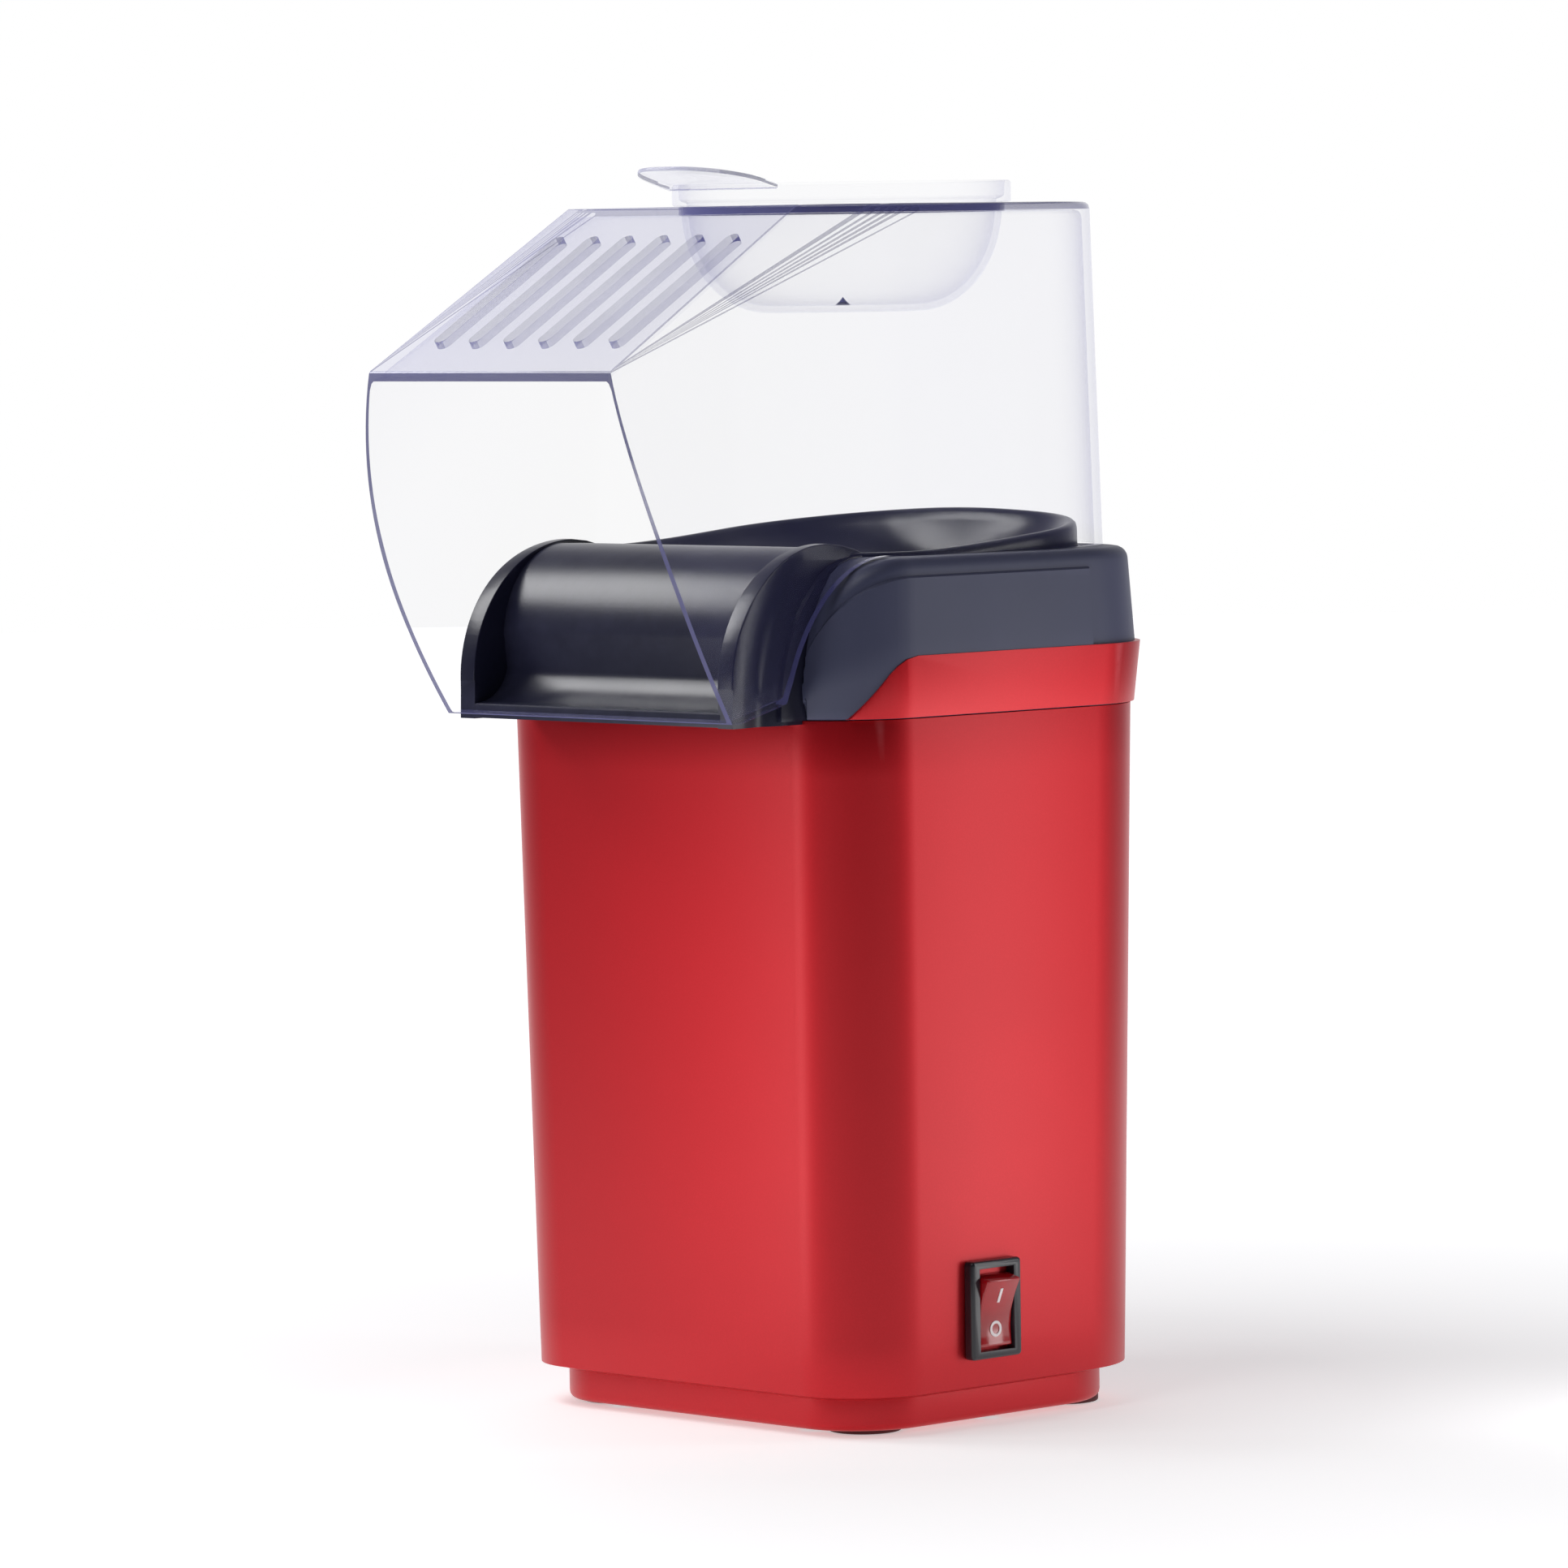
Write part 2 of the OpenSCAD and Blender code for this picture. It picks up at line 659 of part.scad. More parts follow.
module inlet_bushing() {
    color(BLACK) translate([0, 47.2, inlet_z]) rotate([-90, 0, 0]) difference() {
        union() {
            translate([0, 0, -4]) cylinder(r = inlet_r - 0.1, h = 7);
            translate([0, 0, -5]) cylinder(r = inlet_r + 1.6, h = 2);
            translate([0, 0, 3]) cylinder(r1 = inlet_r + 2, r2 = inlet_r + 0.4, h = 3);
        }
        translate([0, 0, -10]) cylinder(r = 3.3, h = 30);
    }
}

// ---- switch ----

module switch_body() {
    color([0.1, 0.1, 0.12]) difference() {
        union() {
            translate([switch_face - 2.35, switch_y - switch_w / 2, switch_z - switch_h / 2])
                cube([2.35, switch_w, switch_h]);
            translate([41.5, switch_y - 6.4, switch_z - 9.6]) cube([17, 12.8, 19.2]);
        }
        translate([47, switch_y - 5.3, switch_z - 9.05]) cube([20, 10.6, 18.1]);
        translate([rocker_x, switch_y, switch_z]) rotate([90, 0, 0])
            cylinder(r = rocker_pin_r + running, h = 12.4, center = true);
    }
}

module switch_contacts() {
    color([0.8, 0.68, 0.4]) for (z = [-tag_gap, tag_gap]) translate([tag_x, switch_y, switch_z + z])
        translate([0, -2.4, -0.4]) cube([5.5, 4.8, 0.8]);
}

// Rocker in its rest place: lower half in, upper half standing out
module switch_rocker() {
    tip = 7.6;
    color([0.75, 0.05, 0.07]) translate([rocker_x, switch_y, switch_z]) rotate([0, rocker_throw / 2, 0]) {
        rotate([90, 0, 0]) {
            linear_extrude(10, center = true) polygon(concat(
                [[4.6, -tip], [4.6 - tip * tan(rocker_throw / 2), 0], [4.6, tip]],
                [[0.5, 7.9], [-4, 5], [-4, -5], [0.5, -7.9]]));
            cylinder(r = rocker_pin_r, h = 11.8, center = true);
        }
    }
}

// ---- clear cover ----

// Solid form of the cover, drawn in by inset
module hood_form(inset = 0) {
    i = inset;
    hull() {
        plan_slice(hood_hw - 2 - i, crown_hd - i, 29 - i, 29 - i, hood_z - 0.8 - i, crown_mid);
        plan_slice(hood_hw - 2.8 - i, crown_hd - 0.8 - i, 28.2 - i, 28.2 - i, hood_z - i - slice, crown_mid);
        plan_slice(hood_hw - i, hood_hd - i, hood_r - i, hood_r - i, deck_z - 4, 0);
        mouth_edge(i);
    }
    hull() {
        mouth_edge(i);
        skirt_root(i);
    }
}

// Outline of the open mouth, brow first, leaning out along a bow
function bow_y(t) = mouth_y + 27.9 * pow(t, 1.75);
function bow_x(t) = brow_hw + 7.6 * sin(min(t / 0.68, 1) * 90) - 0.9 * pow(max(t - 0.68, 0) / 0.32, 2);

module mouth_edge(i) {
    for (k = [0 : mouth_n]) let (t = k / mouth_n, z = mouth_z - t * (mouth_z - body_z1 + 0.3))
        for (s = [-1, 1]) translate([s * (bow_x(t) - i) - 0.01, bow_y(t) - (i > 0 ? 3 : 0), z - (k == 0 ? i : 0)])
            cube(slice);
    for (s = [-1, 1]) translate([s * (36 - i), crown_y, hood_z - i - slice]) cube(slice);
}

// Foot of the skirts that run down beside the chute
module skirt_root(i) {
    for (s = [-1, 1]) translate([s * (49.2 - i), -52, body_z1 - 0.3]) cube(slice);
    for (s = [-1, 1]) translate([s * (50.2 - i), -40, deck_z + 10]) cube(slice);
}

module hood() {
    color(CLEAR) difference() {
        hood_form();
        hood_form(hood_wall);
        // below the deck only the skirts remain, outside the shoulder
        translate([0, 0, clear_gap]) across(90) polygon(concat(
            [[-150, body_z1 - 0.6], [-59, body_z1]], shoulder_roll(), [[60, deck_z], [60, 100], [-150, 100]]));
        // vents
        slope = atan2(hood_z - mouth_z, crown_y - mouth_y);
        translate([0, mouth_y, mouth_z]) rotate([slope, 0, 0])
            for (i = [0 : vent_n - 1])
                translate([(i - (vent_n - 1) / 2) * vent_pitch, vent_in + vent_w / 2, -6]) {
                    cylinder(r = vent_w / 2, h = 12, $fn = 24);
                    translate([-vent_w / 2, 0, 0]) cube([vent_w, vent_len - vent_w, 12]);
                    translate([0, vent_len - vent_w, 0]) cylinder(r = vent_w / 2, h = 12, $fn = 24);
                }
        // seat of the measuring cup
        translate([0, cup_y, hood_z - 20]) cylinder(r = cup_r - 1.4, h = 40);
    }
}

module measuring_cup() {
    bowl = cup_r - 2;
    t = 1.6;
    flare = [bowl - cup_bottom_r, cup_depth];
    color(CLEAR) translate([0, cup_y, hood_z]) {
        rotate_extrude() polygon(concat(
            [[0, -cup_depth], [cup_bottom_r, -cup_depth]],
            arc([cup_bottom_r - 1, 0], flare + [1, 0], -84, -4, 12),
            [[bowl, 0.2], [cup_r, 0.2], [cup_r, 5], [cup_r - t, 5], [cup_r - t, 1.6], [bowl - t, 1]],
            arc([cup_bottom_r - 1, 0], flare - [t - 1, t], -6, -84, 12),
            [[cup_bottom_r - 1, t - cup_depth], [1.4, t - cup_depth], [0, t - cup_depth + 1.6]]));
        // tongue to lift the cup by
        difference() {
            hull() {
                translate([0, -cup_r + 8, 4]) cylinder(r = 17, h = 1.4);
                translate([0, -41.5, 7.4]) cylinder(r = 12.5, h = 1.4);
            }
            translate([0, 0, -1]) cylinder(r = cup_r - t, h = 20);
        }
    }
}

outer_body();
base_cover();
rubber_feet();
base_screws();
upper_housing();
trim_band();
housing_screws();
popping_chamber();
chamber_gasket();
heat_shield();
air_duct();
duct_screws();
heater_frame();
heater_coil();
thermostat();
thermal_fuse();
motor_can();
motor_end_cap();
motor_magnets();
motor_bushes();
carbon_brushes();
motor_screws();
motor_shaft();
armature();
commutator();
fan_wheel();
fan_nut();
rectifier_board();
rectifier_diodes();
terminal_block();
supply_leads();
heater_leads();
inlet_bushing();
switch_body();
switch_contacts();
switch_rocker();
hood();
measuring_cup();
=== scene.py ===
# %% [markdown]
# # A hot-air popcorn maker
# A red body stands on four feet, a black housing with a chute sits on it, and a clear cover lifts off
# the top with a measuring cup in its crown. The working frame (sizes, joints, inner parts) is loaded
# first; this file gives each visible piece the shape and finish of the real one around that frame.

# %% Load the frame
import json
import math

import bmesh
import bpy
from mathutils import Matrix, Vector
from mathutils.bvhtree import BVHTree


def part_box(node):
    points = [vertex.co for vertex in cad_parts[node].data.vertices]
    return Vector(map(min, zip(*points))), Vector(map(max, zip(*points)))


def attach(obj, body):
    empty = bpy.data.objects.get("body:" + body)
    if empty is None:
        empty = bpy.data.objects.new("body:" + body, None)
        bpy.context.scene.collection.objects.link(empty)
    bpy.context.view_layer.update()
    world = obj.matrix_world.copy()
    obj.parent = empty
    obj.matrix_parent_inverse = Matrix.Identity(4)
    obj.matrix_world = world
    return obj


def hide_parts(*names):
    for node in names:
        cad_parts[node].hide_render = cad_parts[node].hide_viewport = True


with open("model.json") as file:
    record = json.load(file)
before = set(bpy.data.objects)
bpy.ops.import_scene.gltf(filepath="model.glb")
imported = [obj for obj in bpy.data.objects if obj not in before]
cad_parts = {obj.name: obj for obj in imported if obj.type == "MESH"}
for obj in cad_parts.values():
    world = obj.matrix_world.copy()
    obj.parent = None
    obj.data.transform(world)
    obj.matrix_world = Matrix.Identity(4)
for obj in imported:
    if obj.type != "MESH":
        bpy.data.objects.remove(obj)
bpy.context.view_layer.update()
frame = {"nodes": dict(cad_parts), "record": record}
MM = 0.001

# %% [markdown]
# ## The driving sizes
# Everything is written in millimetres and turned into metres when a mesh is finished. The places come
# from the frame's own boxes wherever a piece has to meet a CAD part, so a change there carries over.

# %% Driving sizes


def node_box(name):
    """The lowest and highest corner of a CAD node, in millimetres."""
    low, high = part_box(name)
    return Vector(low) / MM, Vector(high) / MM


body_low, body_high = node_box("outer_body")
hood_low, hood_high = node_box("hood")

BODY_HW = body_high.x
BODY_HD = body_high.y
BODY_Z0, BODY_Z1 = body_low.z, body_high.z
BODY_TAPER = 2.2
CORNER_FRONT, CORNER_REAR = 18.8, 26.4
WALL = 2.0
DECK_Z = 190.0
BAND_Z1 = node_box("trim_band")[1].z
COLLAR_HW, COLLAR_HD, COLLAR_R = 49.5, 46.5, 30.0
NOSE_Y = node_box("upper_housing")[0].y
NOSE_HW = 43.0
RIM_R = 30.1
SLIDE_HW = 38.0
AXIS_Y = 3.0
CHAMBER_R = 36.0
HOOD_Z = hood_high.z
MOUTH_Y = hood_low.y
MOUTH_Z = 231.3
print("body", round(BODY_HW, 1), round(BODY_HD, 1), "deck", DECK_Z, "cover top", round(HOOD_Z, 1))

# %% [markdown]
# ## Camera
# The view is a product view: long lens, the near vertical corner in the middle, the eye a little above
# the body's middle. The camera's three axes are given by the turn about the upright axis, a few degrees
# of height and a slight roll, and it is aimed by sliding back along its own view line.

# %% Camera
VIEW_TURN, VIEW_RISE, VIEW_ROLL = math.radians(45.63), math.radians(3.58), math.radians(0.87)
VIEW_AIM = Vector((0, 0, 137.70)) * MM
VIEW_SIDE, VIEW_BACK = -10.41 * MM, 1889.71 * MM
LENS_RATIO = 5.4228  # focal length over sensor width

back = Vector((math.sin(VIEW_TURN) * math.cos(VIEW_RISE), -math.cos(VIEW_TURN) * math.cos(VIEW_RISE),
               math.sin(VIEW_RISE)))
right = Vector((math.cos(VIEW_TURN), math.sin(VIEW_TURN), 0))
up = back.cross(right)
cam_x = right * math.cos(VIEW_ROLL) - up * math.sin(VIEW_ROLL)
cam_y = up * math.cos(VIEW_ROLL) + right * math.sin(VIEW_ROLL)

camera_data = bpy.data.cameras.new("camera")
camera_data.lens = camera_data.sensor_width * LENS_RATIO
camera = bpy.data.objects.new("camera", camera_data)
bpy.context.collection.objects.link(camera)
turn = Matrix((cam_x, cam_y, back)).transposed().to_4x4()
camera.matrix_world = Matrix.Translation(VIEW_AIM + cam_x * VIEW_SIDE + back * VIEW_BACK) @ turn
bpy.context.scene.camera = camera
print("camera at", [round(v, 3) for v in camera.matrix_world.translation])

# %% [markdown]
# ## Mesh helpers
# Most moulded shells here start as a cube whose upright edges are rounded with the bevel operator. The
# block is then sliced level with bisect_plane, and each level is drawn in or out, which gives tapers
# and flares without any list of points. A finished mesh is scaled to metres and put at the origin.

# %% Blocks with rounded corners


def block(low, high):
    """A bmesh cube between two corners, in millimetres."""
    bm = bmesh.new()
    bmesh.ops.create_cube(bm, size=1)
    size = Vector(high) - Vector(low)
    bmesh.ops.scale(bm, vec=size, verts=bm.verts)
    bmesh.ops.translate(bm, vec=(Vector(high) + Vector(low)) / 2, verts=bm.verts)
    return bm


def round_edges(bm, edges, radius, segments=4):
    """The bevel operator with the values that the editor's own bevel starts from."""
    return bmesh.ops.bevel(bm, geom=list(edges), offset=radius, offset_type="OFFSET", segments=segments,
                           profile=0.5, affect="EDGES", material=-1, clamp_overlap=True)


def is_upright(edge):
    a, b = edge.verts
    return abs(a.co.x - b.co.x) < 1e-4 and abs(a.co.y - b.co.y) < 1e-4


def rounded_block(hw, hd, z0, z1, front=CORNER_FRONT, rear=CORNER_REAR, segments=14):
    """A block with two radii on its upright edges: one for the front corners, one for the rear."""
    bm = block((-hw, -hd, z0), (hw, hd, z1))
    for radius, rear_side in ((front, False), (rear, True)):
        sharp = [e for e in bm.edges if is_upright(e) and abs(abs(e.verts[0].co.x) - hw) < 1e-3
                 and abs(abs(e.verts[0].co.y) - hd) < 1e-3]
        round_edges(bm, [e for e in sharp if (e.verts[0].co.y > 0) == rear_side], radius, segments)
    return bm


def cross_cut(bm, axis, places):
    """Cuts every face at several places along one axis (0, 1 or 2)."""
    for place in places:
        spot = [place if i == axis else 0 for i in range(3)]
        bmesh.ops.bisect_plane(bm, geom=list(bm.verts) + list(bm.edges) + list(bm.faces), plane_co=spot,
                               plane_no=[int(i == axis) for i in range(3)], dist=1e-5)


def draw_in(verts, amount, middle=20):
    """Moves a level's outline in by the same amount on every side, fading out in its middle."""
    for v in verts:
        v.co.x -= math.copysign(amount, v.co.x) * min(1, abs(v.co.x) / middle)
        v.co.y -= math.copysign(amount, v.co.y) * min(1, abs(v.co.y) / middle)


def level_edges(bm, z):
    """Edges that lie flat at one height on the outline."""
    return [e for e in bm.edges if all(abs(v.co.z - z) < 1e-3 for v in e.verts)
            and any(abs(f.normal.z) < 0.9 for f in e.link_faces)]


# %% Finishing a piece


def tidy_normals(bm):
    bmesh.ops.remove_doubles(bm, verts=bm.verts, dist=1e-4)
    bmesh.ops.recalc_face_normals(bm, faces=bm.faces)


def finish(bm, name, body, smooth=40):
    """Turns a bmesh into an object at the origin that rides on a body, and prints its faces and open edges.
    """
    bmesh.ops.scale(bm, vec=(MM, MM, MM), verts=bm.verts)
    mesh = bpy.data.meshes.new(name)
    for face in bm.faces:
        face.smooth = True
    bm.to_mesh(mesh)
    bm.free()
    mesh.set_sharp_from_angle(angle=math.radians(smooth))
    piece = bpy.data.objects.new(name, mesh)
    bpy.context.collection.objects.link(piece)
    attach(piece, body)
    print(name, "faces", len(mesh.polygons), "open edges", open_edges(mesh))
    return piece


def open_edges(mesh):
    """Counts the edges that don't join exactly two faces."""
    uses = {}
    for polygon in mesh.polygons:
        for key in polygon.edge_keys:
            uses[key] = uses.get(key, 0) + 1
    return sum(1 for n in uses.values() if n != 2)


def apply_modifiers(piece):
    """Bakes a piece's modifiers into its mesh."""
    graph = bpy.context.evaluated_depsgraph_get()
    made = bpy.data.meshes.new_from_object(piece.evaluated_get(graph))
    piece.modifiers.clear()
    old = piece.data
    piece.data = made
    made.name = piece.name
    bpy.data.meshes.remove(old)


def cut(piece, cutter_bm):
    """Takes a cutter's form out of a piece."""
    bmesh.ops.recalc_face_normals(cutter_bm, faces=cutter_bm.faces)
    bmesh.ops.scale(cutter_bm, vec=(MM, MM, MM), verts=cutter_bm.verts)
    mesh = bpy.data.meshes.new("cutter")
    cutter_bm.to_mesh(mesh)
    cutter_bm.free()
    cutter = bpy.data.objects.new("cutter", mesh)
    bpy.context.collection.objects.link(cutter)
    boolean = piece.modifiers.new("cut", "BOOLEAN")
    boolean.operation = "DIFFERENCE"
    boolean.solver = "EXACT"
    boolean.object = cutter
    apply_modifiers(piece)
    bpy.data.objects.remove(cutter)
    bpy.data.meshes.remove(mesh)


def soften(piece, width, segments=3, angle=30):
    """A small round along every sharp edge, as a mould leaves, baked into the mesh."""
    bevel = piece.modifiers.new("soften", "BEVEL")
    bevel.width = width * MM
    bevel.segments = segments
    bevel.limit_method = "ANGLE"
    bevel.angle_limit = math.radians(angle)
    bevel.use_clamp_overlap = True
    bevel.harden_normals = False
    apply_modifiers(piece)
    for polygon in piece.data.polygons:
        polygon.use_smooth = True
    piece.data.set_sharp_from_angle(angle=math.radians(48))


def verts_of(made):
    """The vertices among what an operator has made."""
    return [g for g in made["geom"] if isinstance(g, bmesh.types.BMVert)]


def extrude_profile(points, x0, x1):
    """A closed outline in the side view (Y, Z), carried from x0 to x1."""
    bm = bmesh.new()
    face = bm.faces.new([bm.verts.new((x0, y, z)) for y, z in points])
    made = bmesh.ops.extrude_face_region(bm, geom=[face])
    bmesh.ops.translate(bm, vec=(x1 - x0, 0, 0), verts=verts_of(made))
    bmesh.ops.recalc_face_normals(bm, faces=bm.faces)
    return bm


def arc(center, radius, start, end, steps):
    """Points of an arc in degrees; radius is one number or one for each direction."""
    ry, rz = radius if isinstance(radius, tuple) else (radius, radius)
    turns = [math.radians(start + (end - start) * i / steps) for i in range(steps + 1)]
    return [(center[0] + ry * math.cos(t), center[1] + rz * math.sin(t)) for t in turns]


def join(bm, other):
    """Adds one bmesh to another."""
    mesh = bpy.data.meshes.new("part")
    other.to_mesh(mesh)
    other.free()
    bm.from_mesh(mesh)
    bpy.data.meshes.remove(mesh)


# %% [markdown]
# ## Outer body
# The body is one deep moulding, open at top and bottom, sprayed in metallic red. Its sides lean in
# towards the bottom by a couple of millimetres and the lower edge is turned in with a small radius. A
# rounded block is the natural start: slice it, draw the low levels in, open both ends and thicken it.

# %% Outer body
def make_outer_body():
    bm = rounded_block(BODY_HW, BODY_HD, BODY_Z0, BODY_Z1, segments=20)
    levels, tall = 12, BODY_Z1 - BODY_Z0
    cross_cut(bm, 2, [BODY_Z0 + tall * i / levels for i in range(1, levels)])
    for v in bm.verts:
        draw_in([v], BODY_TAPER * (BODY_Z1 - v.co.z) / tall)
    bmesh.ops.delete(bm, geom=[f for f in bm.faces if abs(f.normal.z) > 0.9], context="FACES_ONLY")
    # the turned-in lower edge: three short rings, each further in
    for drop, inward in ((0.0, 1.1), (0.9, 1.6), (0.9, 2.4)):
        rim = [e for e in bm.edges if e.is_boundary and e.verts[0].co.z < BODY_Z0 + 3]
        ring = verts_of(bmesh.ops.extrude_edge_only(bm, edges=rim))
        draw_in(ring, inward)
        bmesh.ops.translate(bm, vec=(0, 0, -drop), verts=ring)
    # the rings hang below the body's own foot, so the lowest stretch is pressed up to it
    low, stretch = min(v.co.z for v in bm.verts), 8
    for v in bm.verts:
        if v.co.z < BODY_Z0 + stretch:
            v.co.z += (BODY_Z0 - low) * max(0, 1 - (v.co.z - low) / stretch)
    bmesh.ops.recalc_face_normals(bm, faces=bm.faces)
    body = finish(bm, "body_shell", "base_unit", smooth=60)
    thick = body.modifiers.new("wall", "SOLIDIFY")
    thick.thickness = WALL * MM
    thick.offset = -1
    thick.use_even_offset = True
    apply_modifiers(body)
    soften(body, 0.35, 2, 40)
    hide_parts("outer_body")
    return body


body_shell = make_outer_body()

# %% [markdown]
# ## Base cover
# Under the body a shallow tray closes the bottom. It is smaller than the body all round, so a dark
# line shows between them, and its floor has slots and a round hole through which the fan draws air. The
# tray is an open block with thickness, and the slots and the seats of feet and screws are cut into it.

# %% Base cover
RING_HW, RING_HD = node_box("base_cover")[1].xy
FOOT_PLACES = [(sx * 39, sy * 31) for sx in (-1, 1) for sy in (-1, 1)]
BASE_SCREWS = [(-46, 0), (46, 0)] + [(sx * 30, sy * 38) for sx in (-1, 1) for sy in (-1, 1)]


def disc(center, radius, z0, z1, segments=40):
    bm = bmesh.new()
    bmesh.ops.create_cone(bm, cap_ends=True, segments=segments, radius1=radius, radius2=radius,
                          depth=z1 - z0)
    bmesh.ops.translate(bm, vec=(center[0], center[1], (z0 + z1) / 2), verts=bm.verts)
    return bm


TRAY_Z, TRAY_FRONT, TRAY_REAR = 1.0, 17.7, 24
SLOT_PITCH, SLOT_HW, SLOT_HALF = 6, 1.6, 16
MIDDLE_R, FOOT_SEAT_R, SCREW_SEAT_R = 2.6, 8.3, 3.1


def make_base_cover():
    bm = rounded_block(RING_HW, RING_HD, TRAY_Z, BODY_Z0 + 4, TRAY_FRONT, TRAY_REAR)
    round_edges(bm, level_edges(bm, TRAY_Z), 1.6, 4)
    cover = finish(bm, "base_tray", "base_unit")
    cut(cover, rounded_block(RING_HW - WALL, RING_HD - WALL, 3.6, BODY_Z0 + 6, TRAY_FRONT - WALL,
                             TRAY_REAR - WALL))
    for i in (-4, -3, -2, -1, 1, 2, 3, 4):
        x = i * SLOT_PITCH
        cut(cover, block((x - SLOT_HW, -SLOT_HALF, -1), (x + SLOT_HW, SLOT_HALF, 6)))
    cut(cover, disc((0, 0), MIDDLE_R, -1, 6, 24))
    for x, y in FOOT_PLACES:
        cut(cover, disc((x, y), FOOT_SEAT_R, -1, 1.5))
    for x, y in BASE_SCREWS:
        cut(cover, disc((x, y), SCREW_SEAT_R, -1, 3.1, 24))
    soften(cover, 0.25, 2, 35)
    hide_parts("base_cover")
    return cover


base_tray = make_base_cover()

# %% [markdown]
# ## Feet
# Four low round pads of soft rubber carry the maker. Each is a disc with a rounded lower edge, pressed
# into its seat. A create_cone disc with one bevel is all that it needs.

# %% Feet
def make_feet():
    feet = bmesh.new()
    for x, y in FOOT_PLACES:
        pad = disc((x, y), 8.0, 0.0, 2.2, 48)
        round_edges(pad, level_edges(pad, 0.0), 0.5, 3)
        join(feet, pad)
    piece = finish(feet, "foot_pads", "base_unit")
    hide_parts("rubber_feet")
    return piece


foot_pads = make_feet()

# %% [markdown]
# ## Upper housing: block and shoulders
# The black housing flares a little down to the red band and is crowned by a flat deck. Towards the
# chute the deck rolls down into two round shoulders. One way is to cut the shoulders off with a
# boolean, which leaves a sharp seam; here the block is cut into rows, and the height of every row is
# scaled by a rolling curve, so that the shoulders stay smooth.

# %% Housing block with rolled shoulders
FLARE = 1.5
PANEL_RISE = 0.7
PANEL_TOP = 186.2
ROLL_START, ROLL_DEPTH, ROLL_RISE = -33.0, 25.5, 34
LEAN = 1.1  # how far the housing and the band are drawn in towards their feet
FOOT_Z = BODY_Z1 + 0.1


def shoulder_height(x, y):
    """How much of the block's height is left at a place: 1 on the deck, less towards the chute."""
    along = min(1, max(0, (ROLL_START - y) / ROLL_DEPTH))
    across = min(1, max(0, (59.5 - abs(x)) / 15.3))
    blend = min(1, max(0, (-42 - y) / 10.5))
    return math.sqrt(max(0.0, 1 - along ** 2 - 0.40 * blend * across ** 2))


def make_block(inset=0.0, low=0.0, roof=0.0):
    """The housing's form; with an inset it is the form of the hollow inside."""
    hw, hd = BODY_HW + FLARE - PANEL_RISE - inset, BODY_HD + FLARE - PANEL_RISE - inset
    top = DECK_Z - roof
    bm = rounded_block(hw, hd, FOOT_Z - low, top, CORNER_FRONT - inset, CORNER_REAR - inset, segments=20)
    round_edges(bm, level_edges(bm, top), 2.6, 5)
    cross_cut(bm, 2, (160, 165, BAND_Z1, 173, 177, 181, 184, PANEL_TOP))
    cross_cut(bm, 1, (-51.5, -49.5, -47, -44, -41, -38, -35, ROLL_START))
    cross_cut(bm, 0, (-44, -47, -50, -53, -56, 44, 47, 50, 53, 56))
    for v in bm.verts:
        if v.co.z < BAND_Z1:
            draw_in([v], (BAND_Z1 - v.co.z) / (BAND_Z1 - FOOT_Z) * LEAN)
        else:
            draw_in([v], (v.co.z - BAND_Z1) / (DECK_Z - BAND_Z1) * LEAN)
        v.co.z = FOOT_Z + (v.co.z - FOOT_Z) * shoulder_height(v.co.x, v.co.y)
    return bm


# %% [markdown]
# ## Upper housing: raised side panels
# Each flank carries a slightly raised panel whose edge follows the shoulder's roll and ends in an
# upright crease before the rear corner. The faces inside that outline are picked by their place and
# raised together with inset_region, whose depth makes the small slanted edge of the panel.

# %% Side panels
PANEL_REAR, PANEL_FRONT_X = 22.6, 44.0


def raise_panels(bm):
    for side in (-1, 1):
        picked = []
        for face in bm.faces:
            c = face.calc_center_median()
            left = shoulder_height(c.x, c.y)
            level = FOOT_Z + (c.z - FOOT_Z) / max(left, 0.05)
            on_flank = c.x * side > PANEL_FRONT_X and c.y < PANEL_REAR
            if on_flank and level < PANEL_TOP and -0.5 < face.normal.z < 0.75:
                picked.append(face)
        bmesh.ops.inset_region(bm, faces=picked, thickness=0.5, depth=PANEL_RISE, use_even_offset=True,
                               use_boundary=True)


def make_housing_core():
    bm = make_block()
    cross_cut(bm, 1, (PANEL_REAR,))
    bmesh.ops.recalc_face_normals(bm, faces=bm.faces)
    raise_panels(bm)
    shell = finish(bm, "upper_shell", "base_unit", smooth=35)
    cut(shell, make_block(inset=WALL, low=3.0, roof=4.0))
    cut(shell, rounded_block(COLLAR_HW - 2.6, COLLAR_HD - 2.6, 180, 200, COLLAR_R - 2.6, COLLAR_R - 2.6))
    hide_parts("upper_housing")
    return shell


upper_shell = make_housing_core()

# %% [markdown]
# ## Upper housing: shoulder steps
# Between the chute's sides and each raised panel a low ledge follows the shoulder's roll; the cover's
# skirts rest on it. It is the roll's side view carried across, with a small round on its outer edge.

# %% Shoulder steps
STEP_X = 44.1
ROLL_CENTER = (ROLL_START, DECK_Z - ROLL_RISE)


def make_steps():
    both = bmesh.new()
    for side in (-1, 1):
        roll = arc(ROLL_CENTER, (ROLL_DEPTH - 0.3, ROLL_RISE + 0.3), 90, 179, 26)
        outline = roll + [(roll[-1][0], FOOT_Z), (ROLL_START, FOOT_Z)]
        bm = extrude_profile(outline, side * SLIDE_HW, side * STEP_X)
        outer = [e for e in bm.edges if all(abs(v.co.x) > STEP_X - 0.1 for v in e.verts)]
        rim = [e for e in outer
               if all(v.co.z > FOOT_Z + 0.1 and v.co.y < ROLL_START + 0.1 for v in e.verts)]
        round_edges(bm, rim, 0.8, 4)
        join(both, bm)
    bmesh.ops.recalc_face_normals(both, faces=both.faces)
    steps = finish(both, "shoulder_steps", "base_unit", smooth=40)
    return steps


